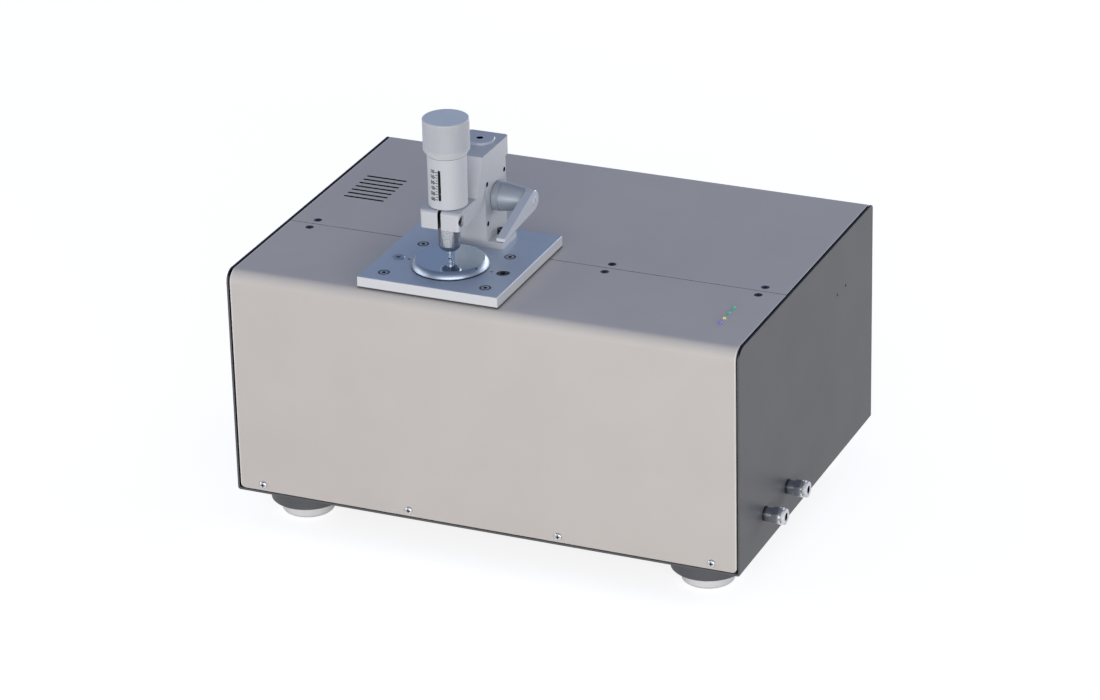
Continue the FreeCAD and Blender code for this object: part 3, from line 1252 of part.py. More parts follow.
def beam_riser():
    x = BLOCK_X
    y = AXIS_FROM_FRONT
    rise = MIRROR_LIFT
    post = block(x - 32, x - 14, y - 10, y + 10, OPTICS_Z, BEAM_Z + rise + 17)
    slope = [(y - 14, BEAM_Z - 14), (y + 14, BEAM_Z - 14), (y - 14, BEAM_Z + 14)]
    low_seat = prism_x(slope, x - 14, x + 14)
    top = BEAM_Z + rise
    high_seat = prism_y([(x - 14, top - 14), (x - 14, top + 14), (x + 14, top + 14)], y - 14, y + 14)
    return joined(post, low_seat, high_seat)


def mirror_frame():
    """Hangs from the sampling plate and carries the two mirrors under the crystal."""
    ridge = BEAM_Z + MIRROR_LIFT + 12
    foot = ridge - 22
    half = OPENING_WIDTH / 2 - 2
    roof = [(AXIS_X - half, foot - 5), (AXIS_X + half, foot - 5), (AXIS_X + half, foot), (AXIS_X, ridge),
            (AXIS_X - half, foot)]
    depth = OPENING_DEPTH / 2 - 2
    wedge = prism_y(roof, AXIS_FROM_FRONT - depth + 4, AXIS_FROM_FRONT + depth - 4)
    cheeks = []
    for side in (-1, 1):
        outer = AXIS_FROM_FRONT + side * depth
        inner = AXIS_FROM_FRONT + side * (depth - 5)
        low_y = min(inner, outer)
        cheeks.append(block(AXIS_X - 18, AXIS_X + 18, low_y, low_y + 5, foot - 5, PLATE_BASE))
    return joined(wedge, *cheeks)


def detector():
    x = AXIS_X + DETECTOR_FROM_AXIS
    y = AXIS_FROM_FRONT
    z = BEAM_Z + MIRROR_LIFT
    half = DETECTOR_HALF
    post = block(x - half / 2, x + half / 2, y - 10, y + 10, OPTICS_Z, z - half + 2)
    head = block(x - half + 2, x + half + 2, y - half - 2, y + half + 2, z - half, z + half)
    window = cylinder(10, x - half + 1, y, z, 5, X)
    return joined(post, head).cut(window)


def desiccant_canister():
    can = cylinder(CANISTER_RADIUS, CANISTER_FROM_SIDE - HALF_WIDTH, CANISTER_FROM_FRONT,
                   OPTICS_Z, CANISTER_HEIGHT)
    return can.makeFillet(3, [e for e in can.Edges if e.CenterOfMass.z > OPTICS_Z + CANISTER_HEIGHT - 1])


# Electronics
def board():
    return block(BOARD_LEFT, BOARD_LEFT + BOARD_WIDTH, BOARD_FRONT, BOARD_FRONT + BOARD_DEPTH,
                 BOARD_Z, BOARD_Z + BOARD_THICKNESS)


def board_standoffs():
    posts = []
    for x in (BOARD_LEFT + 5, BOARD_LEFT + BOARD_WIDTH - 5):
        for y in (BOARD_FRONT + 5, BOARD_FRONT + BOARD_DEPTH - 12):
            posts.append(cylinder(STANDOFF_RADIUS, x, y, FLOOR_Z, STANDOFF_HEIGHT))
    return posts


def board_components():
    z = BOARD_Z + BOARD_THICKNESS
    x = BOARD_LEFT
    y = BOARD_FRONT
    middle = BOARD_FRONT + BOARD_DEPTH / 2
    pieces = [block(x + 22, x + 40, middle - 22, middle - 4, z, z + 2.5)]
    pieces.append(block(x + 8, x + 20, middle + 8, middle + 28, z, z + 3))
    pieces += [cylinder(5, x + 12 + 13 * n, y + 18, z, 16) for n in range(3)]
    pieces.append(block(x + 45, x + 60, y + 12, y + 46, z, z + 9))
    return pieces


# Rear connections
def data_shell_outline():
    low = BOARD_Z + BOARD_THICKNESS
    return SOCKET_X - 6.0, SOCKET_X + 6.0, low, low + 10.8


def data_socket():
    x0, x1, z0, z1 = data_shell_outline()
    back = PANEL_BACK + 0.5
    shell = block(x0, x1, back - 16, back, z0, z1)
    hollow = block(x0 + 0.8, x1 - 0.8, back - 10, back + 1, z0 + 0.8, z1 - 0.8)
    tongue = block(SOCKET_X - 2.8, SOCKET_X + 2.8, back - 11, back - 1.5, z0 + 3.9, z1 - 3.9)
    return joined(shell.cut(hollow), tongue)


def main_board():
    return group([board(), *board_standoffs(), *board_components(), data_socket()])


def power_socket():
    flange = cylinder(POWER_FLANGE, POWER_X, PANEL_BACK, POWER_Z, 2, Y)
    flange = flange.makeChamfer(0.5, [e for e in flange.Edges if e.CenterOfMass.y > PANEL_BACK + 1.9])
    back = PANEL_BACK + 2
    barrel = cylinder(POWER_BARREL, POWER_X, back - POWER_DEPTH, POWER_Z, POWER_DEPTH, Y)
    bore = cylinder(POWER_BORE, POWER_X, back - POWER_DEPTH + 3, POWER_Z, POWER_DEPTH, Y)
    pin = cylinder(1, POWER_X, back - POWER_DEPTH + 2, POWER_Z, POWER_DEPTH - 4, Y)
    return joined(joined(flange, barrel).cut(bore), pin)


def switch_body():
    half_x = SWITCH_WIDTH / 2
    half_z = SWITCH_HEIGHT / 2
    back = PANEL_BACK + SWITCH_FRAME
    body = block(SWITCH_X - half_x, SWITCH_X + half_x, back - SWITCH_DEPTH, back,
                 SWITCH_Z - half_z, SWITCH_Z + half_z)
    rim_x = half_x + SWITCH_MARGIN
    rim_z = half_z + SWITCH_MARGIN
    rim = block(SWITCH_X - rim_x, SWITCH_X + rim_x, PANEL_BACK, back, SWITCH_Z - rim_z, SWITCH_Z + rim_z)
    rim = rounded(rim, 1.5, lambda e, m: along(e, Y))
    room_x = ROCKER_WIDTH / 2 + FREE
    room_z = SWITCH_HEIGHT / 2 - 1.1
    room = block(SWITCH_X - room_x, SWITCH_X + room_x, SWITCH_PIVOT_Y - 4.2, back + 1,
                 SWITCH_Z - room_z, SWITCH_Z + room_z)
    left = SWITCH_X - half_x + 0.2
    pivot = cylinder(TRUNNION + RUNNING, left, SWITCH_PIVOT_Y, SWITCH_Z, SWITCH_WIDTH - 0.4, X)
    return joined(body, rim).cut([room, pivot])


def switch_rocker():
    y = SWITCH_PIVOT_Y
    z = SWITCH_Z
    half = ROCKER_HEIGHT / 2
    outline = [(y - 2.5, z - 2.6), (y - 2.5, z + 2.6), (y + 1, z + half), (y + 3.4, z + half), (y + 2.4, z),
               (y + 3.4, z - half), (y + 1, z - half)]
    rocker = prism_x(outline, SWITCH_X - ROCKER_WIDTH / 2, SWITCH_X + ROCKER_WIDTH / 2)
    stub = ROCKER_WIDTH / 2 + FREE + 0.9
    rocker = joined(rocker, cylinder(TRUNNION, SWITCH_X - stub, y, z, 2 * stub, X))
    rocker.rotate(Vec(SWITCH_X, y, z), X, -ROCKER_TILT)
    return rocker


def all_parts():
    parts = {
        "chassis_tub": chassis_tub(),
        "front_cover": front_cover(),
        "rear_cover": rear_cover(),
        "rear_panel": rear_panel(),
        "cross_rail": cross_rail(),
        "pan_screws": pan_screws(),
        "top_cover_screws": top_cover_screws(),
        "foot_discs": foot_discs(),
        "foot_pads": foot_pads(),
        "foot_bolts": foot_bolts(),
        "led_board": led_board(),
        "indicator_leds": group(led(y) for y in LED_FROM_FRONT),
        "purge_fittings": group(fitting_body(y) for y in FITTING_FROM_FRONT),
        "purge_collet_front": purge_collet(FITTING_FROM_FRONT[0]),
        "purge_collet_rear": purge_collet(FITTING_FROM_FRONT[1]),
        "plate_gasket": plate_gasket(),
        "atr_plate": atr_plate(),
        "atr_plate_screws": atr_plate_screws(),
        "lock_screw_bright": lock_screw(-1, PLATE_TOP + 0.4, 3),
        "lock_screw_black": lock_screw(1, PLATE_TOP - 0.2, 4),
        "sample_disc": sample_disc(),
        "crystal": crystal(),
        "clamp_post": clamp_post(),
        "post_foot_screws": post_foot_screws(),
        "post_side_cover": post_side_cover(),
        "post_side_screws": post_side_screws(),
        "cam_shaft": cam_shaft(),
        "cam_hub": cam_hub(),
        "cam_lever": cam_lever(),
        "lever_screw": lever_screw(),
        "lift_yoke": lift_yoke(),
        "lift_column": lift_column(),
        "column_cap": column_cap(),
        "clamp_arm": clamp_arm(),
        "arm_clamp_screw": arm_clamp_screw(),
        "guide_nose": guide_nose(),
        "load_sleeve": load_sleeve(),
        "pressure_knob": pressure_knob(),
        "lead_screw": lead_screw(),
        "load_nut": load_nut(),
        "load_spring": load_spring(),
        "anvil_rod": anvil_rod(),
        "anvil_tip": anvil_tip(),
        "optics_plate": optics_plate(),
        "beamsplitter_block": beamsplitter_block(),
        "beamsplitter": beamsplitter(),
        "fixed_mirror": fixed_mirror(),
        "scan_carriage": scan_carriage(),
        "coil_magnet": coil_magnet(),
        "infrared_source": ir_source(),
        "collimator": collimator(),
        "reference_laser": reference_laser(),
        "beam_riser": beam_riser(),
        "mirror_frame": mirror_frame(),
        "detector": detector(),
        "desiccant_canister": desiccant_canister(),
        "main_board": main_board(),
        "power_socket": power_socket(),
        "switch_body": switch_body(),
        "switch_rocker": switch_rocker(),
    }
    return parts


def main():
    os.makedirs("parts", exist_ok=True)
    for name, shape in all_parts().items():
        placed = shape.copy()
        placed.translate(ORIGIN * -1)
        placed.exportStep("parts/" + name + ".step")


main()
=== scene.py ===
# %% [markdown]
# This notebook dresses a bench infrared spectrometer. The shapes of all its mechanical pieces come from
# a solid model and stay as they are. What is made here is what such a model doesn't have: powder coat,
# bead-blasted and turned metal, polish, rubber, the printed scale on the clamp, and the light.

# %% Load the solid model
import json
import math

import bmesh
import bpy
from mathutils import Matrix, Vector


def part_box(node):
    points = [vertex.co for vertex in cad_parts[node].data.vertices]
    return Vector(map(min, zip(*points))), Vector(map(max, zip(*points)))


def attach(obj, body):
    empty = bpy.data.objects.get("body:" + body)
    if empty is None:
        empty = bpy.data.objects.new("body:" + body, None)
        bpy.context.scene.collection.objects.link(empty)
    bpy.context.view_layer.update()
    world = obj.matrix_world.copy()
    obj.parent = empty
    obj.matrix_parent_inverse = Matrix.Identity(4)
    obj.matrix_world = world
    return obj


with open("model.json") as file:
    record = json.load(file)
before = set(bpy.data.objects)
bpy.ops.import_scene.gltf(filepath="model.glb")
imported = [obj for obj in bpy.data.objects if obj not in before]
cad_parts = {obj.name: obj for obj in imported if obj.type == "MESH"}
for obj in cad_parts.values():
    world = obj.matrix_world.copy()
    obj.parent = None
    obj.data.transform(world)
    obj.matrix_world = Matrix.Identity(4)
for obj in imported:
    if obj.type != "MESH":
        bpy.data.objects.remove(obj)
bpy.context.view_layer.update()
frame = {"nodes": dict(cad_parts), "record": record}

# %% [markdown]
# The model is in metres with its origin on the bench in the middle of its footprint. The clamp's sleeve, nose
# and knob stand on one upright line, and the lift column on another behind it. Both lines are read from the
# boxes of round pieces, so that nothing here has to be changed when the solid model moves.

# %% Find the two axes of the clamp
MM = 0.001


def middle(node):
    """The middle of a piece's box."""
    low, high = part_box(node)
    return (Vector(low) + Vector(high)) / 2


def half(node):
    """Half the size of a piece's box along each axis."""
    low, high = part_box(node)
    return (Vector(high) - Vector(low)) / 2


SLEEVE_AXIS = middle("load_sleeve")
SLEEVE_RADIUS = half("load_sleeve").x
COLUMN_AXIS = middle("lift_column")
HOUSING_MIDDLE = middle("chassis_tub")
print("sleeve radius in mm:", round(SLEEVE_RADIUS / MM, 2), "column at y:", round(COLUMN_AXIS.y / MM, 1))

# %% [markdown]
# Blender's shader nodes are clearest when they read like a formula. A Wire is one output socket, and the
# signs between wires and numbers add Math nodes. A Math node turns a colour grey, so colours are only mixed,
# and numbers alone are worked out in Python.

# %% A short way to write shader maths
class Wire:
    """One output socket in the nodes of one finish."""

    def __init__(self, finish, socket):
        self.finish = finish
        self.socket = socket

    def __add__(self, other):
        return self.finish.maths("ADD", self, other)

    def __radd__(self, other):
        return self.finish.maths("ADD", other, self)

    def __sub__(self, other):
        return self.finish.maths("SUBTRACT", self, other)

    def __rsub__(self, other):
        return self.finish.maths("SUBTRACT", other, self)

    def __mul__(self, other):
        return self.finish.maths("MULTIPLY", self, other)

    def __rmul__(self, other):
        return self.finish.maths("MULTIPLY", other, self)

    def __truediv__(self, other):
        return self.finish.maths("DIVIDE", self, other)

    def __rtruediv__(self, other):
        return self.finish.maths("DIVIDE", other, self)

    def __gt__(self, other):
        return self.finish.maths("GREATER_THAN", self, other)

    def __lt__(self, other):
        return self.finish.maths("LESS_THAN", self, other)


print("signs between wires add Math nodes: + - * / > <")

# %% [markdown]
# A colour that the eye reads off a screen isn't the amount of light that a shader works with. Colours are
# written here as the eye sees them, because such numbers are easy to compare with a picture, and one
# function turns them into light.

# %% Colours are written as the eye sees them, from 0 to 255
def colour(red, green, blue):
    """The same colour as the linear light that the shader works with."""
    linear = []
    for value in (red, green, blue):
        part = value / 255
        linear.append(part / 12.92 if part <= 0.04045 else ((part + 0.055) / 1.055) ** 2.4)
    return (*linear, 1.0)


def darker(tone, share):
    """The same colour with only a share of its light."""
    return (*(value * share for value in tone[:3]), 1.0)


SHADOW = colour(12, 13, 16)
DEEP_SHADOW = colour(9, 10, 13)
print("a middle grey of 128 sends back", round(colour(128, 128, 128)[0], 3), "of the light")

# %% [markdown]
# A Finish is one material. It sets what is the same all over on the main shader itself, and wires in only
# what changes over the surface. A mask is a wire that is 1 in one place and 0 elsewhere. The masks here are
# worked out from where a point lies in its piece, so they need no unwrapping and stay sharp at any size.

# %% The material class
class Finish:
    """One material. Its constants go straight on the shader's sockets."""

    def __init__(self, name, base, rough, metal=0.0, **constants):
        self.material = bpy.data.materials.new(name)
        self.material.use_nodes = True
        self.tree = self.material.node_tree
        self.shader = self.tree.nodes["Principled BSDF"]
        self.shader.inputs["Base Color"].default_value = base
        self.shader.inputs["Roughness"].default_value = rough
        self.shader.inputs["Metallic"].default_value = metal
        for socket, value in constants.items():
            self.shader.inputs[socket.replace("_", " ")].default_value = value

    def node(self, kind, settings, values, output=0):
        """Any node: its settings first, then a value or a wire for each named or numbered socket."""
        made = self.tree.nodes.new(kind)
        for key, setting in settings.items():
            setattr(made, key, setting)
        for key, value in values.items():
            if isinstance(value, Wire):
                self.tree.links.new(value.socket, made.inputs[key])
            else:
                made.inputs[key].default_value = value
        return Wire(self, made.outputs[output])

    def maths(self, operation, *values):
        return self.node("ShaderNodeMath", {"operation": operation}, dict(enumerate(values)))

    def either(self, first, second):
        """1 where at least one of two masks is 1."""
        return self.maths("MAXIMUM", first, second)

    def mix(self, amount, first, second):
        """Goes from the first colour to the second."""
        return self.node("ShaderNodeMix", {"data_type": "RGBA"}, {0: amount, 6: first, 7: second}, 2)

    def place(self):
        """Where a point lies in the piece's own frame, in metres."""
        return self.node("ShaderNodeTexCoord", {}, {}, "Object")

    def along(self, axis):
        return self.node("ShaderNodeSeparateXYZ", {}, {0: self.place()}, axis)

    def off(self, axis, value):
        """How far a point lies to either side of a value along an axis."""
        return self.maths("ABSOLUTE", self.along(axis) - value)

    def facing(self, axis):
        """How far the surface faces along an axis of the piece, from -1 to 1."""
        normal = self.node("ShaderNodeNewGeometry", {}, {}, "Normal")
        return self.node("ShaderNodeSeparateXYZ", {}, {0: normal}, axis)

    def reach(self, x, y):
        """The length of a way of x to one side and y to another. Both may be wires."""
        return self.maths("SQRT", x * x + y * y)

    def from_line(self, point):
        """How far a point of the surface lies from the upright line through the given point."""
        return self.reach(self.along("X") - point.x, self.along("Y") - point.y)

    def grain(self, size, stretch=(1, 1, 1), detail=2.0):
        """Cloudy noise whose spots are about so many metres across, from 0 to 1."""
        spread = self.node("ShaderNodeVectorMath", {"operation": "MULTIPLY"}, {0: self.place(), 1: stretch})
        return self.node("ShaderNodeTexNoise", {}, {"Vector": spread, "Scale": 1 / size, "Detail": detail})

    def smooth(self, value, low, high):
        """0 under low, 1 over high and a soft climb between them."""
        return self.node("ShaderNodeMapRange", {"interpolation_type": "SMOOTHSTEP"},
                         {"Value": value, "From Min": low, "From Max": high})

    def feed(self, socket, wire):
        self.tree.links.new(wire.socket, self.shader.inputs[socket])

    def paint(self, mask, tone):
        """Lays a colour over the wired one where the mask is 1."""
        present = Wire(self, self.shader.inputs["Base Color"].links[0].from_socket)
        self.feed("Base Color", self.mix(mask, present, tone))
        return self

    def relief(self, height, depth, strength=1.0):
        """Tilts the light as if the surface rose by so many metres where height is 1."""
        values = {"Strength": strength, "Distance": depth, "Height": height}
        self.feed("Normal", self.node("ShaderNodeBump", {}, values))

    def on(self, *nodes):
        """Paints whole pieces of the solid model."""
        for name in nodes:
            slots = frame["nodes"][name].data.materials
            slots.clear()
            slots.append(self.material)
        return self


print("pieces to paint:", len(frame["nodes"]))

# %% [markdown]
# The covers are powder coated in a warm light grey. Powder coat isn't flat paint: it flows into a fine orange
# peel, less than a millimetre from crest to crest, and its shine wanders a little with it. Both come from
# one noise, so that shine and relief belong together.

# %% Powder coat
def powder_coat(name, base, rough, specular=0.35):
    coat = Finish(name, base, rough, Specular_IOR_Level=specular)
    peel = coat.grain(0.7 * MM)
    cloud = coat.grain(45 * MM, detail=3.0)
    shade = coat.smooth(cloud, 0.25, 0.8) * 0.5 + peel * 0.2
    coat.feed("Base Color", coat.mix(shade, base, darker(base, 0.93)))
    coat.feed("Roughness", peel * 0.12 + (cloud * 0.08 + (rough - 0.10)))
    coat.relief(peel, 0.03 * MM, 0.35)
    return coat


cover_coat = powder_coat("cover_coat", colour(200, 195, 190), 0.5)
print("cover coat mixed")

# %% [markdown]
# The two covers are bent from one kind of sheet. Along the side edges a paler line about a millimetre wide
# is a painted highlight, where the edge turns towards the light. The walls of the vents, the seam and the
# holes lie in shade and are painted nearly black as shade. Height tells them from the coated skin, and the
# two bends, which dip below the same height, are left out by their distance from the front and back.

# %% Covers, with painted highlights on their side edges and painted shade in their openings
COATED_SKIN = 0.1 * MM
FRONT_BEND = 9.3 * MM
REAR_BEND = 4.0 * MM
cover_low, cover_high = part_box("front_cover")
cover_half = half("front_cover").x
from_middle = cover_coat.off("X", HOUSING_MIDDLE.x)
edge_painted_highlight = cover_coat.smooth(from_middle, cover_half - 1.3 * MM, cover_half - 0.5 * MM)
# painted highlight: a paler line along each side edge
cover_coat.paint(edge_painted_highlight * 0.75, colour(226, 223, 219))
under_skin = cover_coat.along("Z") < (cover_high.z - COATED_SKIN)
behind_bend = cover_coat.along("Y") > (cover_low.y + FRONT_BEND)
before_back = cover_coat.along("Y") < (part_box("rear_cover")[1].y - REAR_BEND)
# painted shade: the walls of the openings and the underside go nearly black
cover_coat.paint(under_skin * behind_bend * before_back, colour(14, 15, 20))
cover_coat.on("front_cover", "rear_cover")
print("covers coated, openings dark below z =", round((cover_high.z - COATED_SKIN) / MM, 1))

# %% [markdown]
# The tub under the covers has a darker coat. Its sheet edges frame the covers as a thin line. Where they
# face up they are painted navy black as shade, because little light falls on them from above, and where they
# face the front they stay as grey as the side. The direction that a face looks in tells the two apart, and
# the distance from the middle tells the outer skin from the inside, which is painted navy black as shade too.

# %% Tub, with painted shade on its upward edges and inside
SIDE_GREY = colour(95, 95, 97)
TUB_SHEET = 1.45 * MM
tub_low, tub_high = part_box("chassis_tub")
tub_half = half("chassis_tub").x
tub_coat = powder_coat("tub_coat", SIDE_GREY, 0.45, specular=0.2)
across = tub_coat.off("X", HOUSING_MIDDLE.x)
outer_skin = across > (tub_half - 0.05 * MM)
underside = tub_coat.along("Z") < (tub_low.z + 2.1 * MM)
level_edge = tub_coat.smooth(tub_coat.facing("Z"), 0.25, 0.75)
upright_edge = (across > (tub_half - TUB_SHEET)) * (1 - level_edge)
unshaded_skin = tub_coat.either(tub_coat.either(outer_skin, underside), upright_edge)
# painted shade: navy black on the upward edges and the inside, everywhere but the unshaded skin
tub_coat.paint(1 - unshaded_skin, colour(18, 21, 36)).on("chassis_tub")
powder_coat("panel_coat", SIDE_GREY, 0.45, specular=0.2).on("rear_panel")
print("tub is", round(2 * tub_half / MM), "mm wide")

# %% [markdown]
# The post, the arm, the sleeve and the lever of the clamp are aluminium, blasted with fine beads and clear
# anodised. That gives a soft, cool grey, in part metal and in part matt skin. The pits of the blasting are
# far smaller than a millimetre, and handling leaves broad faint clouds in the shine.

# %% Blasted and anodised aluminium
def blasted(name, base, rough=0.42, metal=0.35, sheen=0.0):
    skin = Finish(name, base, rough, metal, Specular_IOR_Level=0.45, Sheen_Weight=sheen)
    pits = skin.grain(0.35 * MM, detail=3.0)
    touch = skin.grain(14 * MM)
    skin.feed("Base Color", skin.mix(pits * 0.35 + touch * 0.25, base, darker(base, 0.88)))
    skin.feed("Roughness", touch * 0.10 + (pits * 0.12 + (rough - 0.11)))
    skin.relief(pits, 0.02 * MM, 0.3)
    return skin


blasted("lever_aluminium", colour(206, 211, 219), rough=0.40).on("cam_lever", "lever_screw")
print("lever blasted")

# %% [markdown]
# A slit or a hole in pale metal looks black, because light that falls in hardly finds its way out. A picture
# made from few rays shows such places too pale, so they are painted nearly black: the four screw holes
# that come out of the post's right face, the slit of the arm, and the inside of the sleeve.

# %% Post, arm and sleeve, with dark holes and slits
SIDE_SCREW_HEAD = 3.0 * MM
SIDE_HOLE = 1.95 * MM
ARM_SLIT = 2.4 * MM
SLEEVE_SKIN = 0.25 * MM
post_skin = blasted("post_aluminium", colour(199, 203, 208))
screws_at = middle("post_side_screws")
screws_out = half("post_side_screws")
hole_y = post_skin.off("Y", screws_at.y) - (screws_out.y - SIDE_SCREW_HEAD)
hole_z = post_skin.off("Z", screws_at.z) - (screws_out.z - SIDE_SCREW_HEAD)
beyond_screws = post_skin.along("X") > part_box("post_side_screws")[1].x
post_skin.paint((post_skin.reach(hole_y, hole_z) < SIDE_HOLE) * beyond_screws, SHADOW)
post_skin.on("clamp_post", "post_side_cover")

arm_skin = blasted("arm_aluminium", colour(198, 201, 206), metal=0.2)
in_slit = arm_skin.off("X", SLEEVE_AXIS.x) < (ARM_SLIT / 2 + 0.05 * MM)
arm_skin.paint(in_slit * (arm_skin.along("Y") < SLEEVE_AXIS.y), SHADOW).on("clamp_arm")

sleeve_skin = blasted("sleeve_aluminium", colour(196, 199, 204), rough=0.55, metal=0.1, sheen=0.25)
sleeve_skin.paint(sleeve_skin.from_line(SLEEVE_AXIS) < (SLEEVE_RADIUS - SLEEVE_SKIN), SHADOW)
sleeve_skin.on("load_sleeve")
print("slit of the arm in mm:", round(ARM_SLIT / MM, 1))

# %% [markdown]
# The cap on the column is a wide screw head with a hexagon socket. Its socket is in the solid model, and the
# paint only gives it the dark of a deep hole: everything near the axis that lies below the flat face.

# %% The column's cap, with its dark hexagon socket
CAP_SOCKET = 3.0 * MM
cap_skin = blasted("cap_aluminium", colour(196, 202, 212), rough=0.36)
below_face = cap_skin.along("Z") < (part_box("column_cap")[1].z - 0.25 * MM)
cap_skin.paint((cap_skin.from_line(COLUMN_AXIS) < CAP_SOCKET) * below_face, colour(16, 17, 20))
cap_skin.on("column_cap")
print("cap socket dark within", round(CAP_SOCKET / MM, 1), "mm of the axis")

# %% [markdown]
# The big plate was milled before it was anodised, and the last pass left very fine lines from left to
# right. They are noise stretched almost a hundred times along one axis. Its top is painted bluer and darker
# than its edges, as painted light: the cool weak light from above against the brighter light from the front.
# The ring between each screw head and its countersink and the joint under the plate lie in shade, so thin
# dark lines of painted shade are put there.

# %% Milled plate
PLATE_HEAD = 3.65 * MM
BACK_SCREW_OUT = 34.65 * MM
JOINT_LINE = 1.2 * MM
plate_low, plate_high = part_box("atr_plate")
heads_low, heads_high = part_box("atr_plate_screws")


def from_head(skin):
    """How far a point lies from the middle of the nearest of the plate's four screws."""
    out = skin.off("X", SLEEVE_AXIS.x)
    front_out = half("atr_plate_screws").x - PLATE_HEAD
    front = skin.reach(out - front_out, skin.along("Y") - (heads_low.y + PLATE_HEAD))
    back = skin.reach(out - BACK_SCREW_OUT, skin.along("Y") - (heads_high.y - PLATE_HEAD))
    return skin.maths("MINIMUM", front, back)


plate_skin = Finish("milled_plate", colour(196, 201, 209), 0.36, 0.45)
lines = plate_skin.grain(0.5 * MM, stretch=(0.012, 1, 1), detail=3.0)
touch = plate_skin.grain(22 * MM)
# painted light: a bluer, darker tone for the top and a paler one for the edges
top_painted_light_tone = plate_skin.mix(lines * 0.5 + touch * 0.3, colour(190, 202, 217), colour(170, 184, 203))
edge_painted_light_tone = plate_skin.mix(lines * 0.4 + touch * 0.3, colour(213, 214, 216), colour(197, 199, 203))
on_top = plate_skin.smooth(plate_skin.facing("Z"), 0.5, 0.9)
plate_skin.feed("Base Color", plate_skin.mix(on_top, edge_painted_light_tone, top_painted_light_tone))
plate_skin.feed("Roughness", lines * 0.16 + (touch * 0.08 + 0.28))
plate_skin.relief(lines, 0.01 * MM, 0.25)
# painted shade in the joint under the plate and in the rings around the screw heads
joint_painted_shade = plate_skin.along("Z") < (plate_low.z + JOINT_LINE)
ring_painted_shade = from_head(plate_skin) < (PLATE_HEAD + 0.75 * MM)
plate_skin.paint(plate_skin.either(joint_painted_shade, ring_painted_shade) * 0.92, colour(22, 26, 36)).on("atr_plate")
print("plate milled, rings around heads of", round(PLATE_HEAD / MM, 2), "mm radius")

# %% [markdown]
# The cone behind the lever is one turning: a plain ring against the post, a shallow groove, and a slim cone.
# Turning leaves rings around the axis, so their relief is a wave that depends only on the distance along it.

# %% Turned cone of the lever
HUB_GROOVE = 5.3 * MM
HUB_FEED = 0.35 * MM
hub_low, hub_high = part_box("cam_hub")
hub_skin = Finish("turned_hub", colour(196, 203, 212), 0.46, 0.3)
hub_cloud = hub_skin.grain(6 * MM)
hub_skin.feed("Base Color", hub_skin.mix(hub_cloud * 0.5, colour(162, 170, 180), colour(146, 154, 166)))
# painted shade darkens the shallow groove
groove_painted_shade = hub_skin.off("X", hub_low.x + HUB_GROOVE) < 0.3 * MM
hub_skin.paint(groove_painted_shade * 0.5, colour(110, 118, 130))
hub_rings = hub_skin.maths("SINE", (hub_skin.along("X") - hub_low.x) * (2 * math.pi / HUB_FEED))
hub_skin.feed("Roughness", hub_rings * 0.03 + 0.46)
hub_skin.relief(hub_rings * 0.5 + 0.5, 0.01 * MM, 0.2)
hub_skin.on("cam_hub")
print("hub is", round((hub_high.x - hub_low.x) / MM, 1), "mm long")

# %% [markdown]
# The knob has a fine straight knurl for the fingers. Cutting more than a hundred real grooves would cost many
# thousands of faces for something a fifth of a millimetre deep, so the grooves are a wave around the axis
# that fades out above the cone and at the flat top. The valleys of the wave get painted shade, mixed with a
# little random wear. The cone is painted paler as painted light from below, and the flat top bluer as the
# cool light from above.

# %% Knurled knob
KNURL_GROOVES = 120
KNURL_DEPTH = 0.2 * MM
knob_low, knob_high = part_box("pressure_knob")
knob_skin = Finish("knurled_knob", colour(212, 215, 221), 0.48, 0.1, Sheen_Weight=0.3)
height = knob_skin.along("Z")
turn = knob_skin.maths("ARCTAN2", knob_skin.along("Y") - SLEEVE_AXIS.y, knob_skin.along("X") - SLEEVE_AXIS.x)
grooves = knob_skin.maths("SINE", turn * KNURL_GROOVES) * 0.5 + 0.5
on_wall = knob_skin.from_line(SLEEVE_AXIS) > (half("pressure_knob").x - KNURL_DEPTH)
above_cone = knob_skin.smooth(height, knob_low.z + 5 * MM, knob_low.z + 6.5 * MM)
near_top = knob_skin.smooth(height, knob_high.z - 1.6 * MM, knob_high.z - 0.9 * MM)
band = on_wall * above_cone * (1 - near_top)
# painted light: the cone paler and, below, the flat top bluer
cone_painted_light = 1 - knob_skin.smooth(height, knob_low.z + 3.9 * MM, knob_low.z + 4.3 * MM)
wall_and_cone_painted_light = knob_skin.mix(cone_painted_light, colour(188, 191, 196), colour(216, 217, 220))
on_top = knob_skin.smooth(knob_skin.facing("Z"), 0.6, 0.95)
knob_skin.feed("Base Color", knob_skin.mix(on_top, wall_and_cone_painted_light, colour(208, 219, 228)))
wear = knob_skin.grain(9 * MM)
# painted shade in the knurl's valleys, together with random wear
knob_skin.paint(band * (1 - grooves) * 0.4 + wear * 0.15, colour(148, 152, 162))
knob_skin.feed("Roughness", wear * 0.12 + 0.42)
knob_skin.relief(grooves * band, KNURL_DEPTH, 0.4)
knob_skin.on("pressure_knob")
print("knob is", round((knob_high.z - knob_low.z) / MM, 1), "mm high with its cone")

# %% [markdown]
# Bright steel is nearly a mirror. What makes it look turned rather than cast is again a set of fine rings,
# with a roughness that changes from ring to ring. The same recipe serves the nose of the clamp, the anvil,
# the shafts, the spring and the bright screws, each with rings along one axis. The nose has also been handled
# and is speckled.

# %% Turned steel
def turned_steel(name, base, rough, axis, pitch=0.3 * MM):
    steel = Finish(name, base, rough, 1.0)
    rings = steel.maths("SINE", steel.along(axis) * (2 * math.pi / pitch)) * 0.5 + 0.5
    cloud = steel.grain(4 * MM)
    steel.feed("Base Color", steel.mix(cloud * 0.4, base, darker(base, 0.85)))
    steel.feed("Roughness", rings * 0.06 + (cloud * 0.06 + (rough - 0.05)))
    steel.relief(rings, 0.004 * MM, 0.15)
    return steel


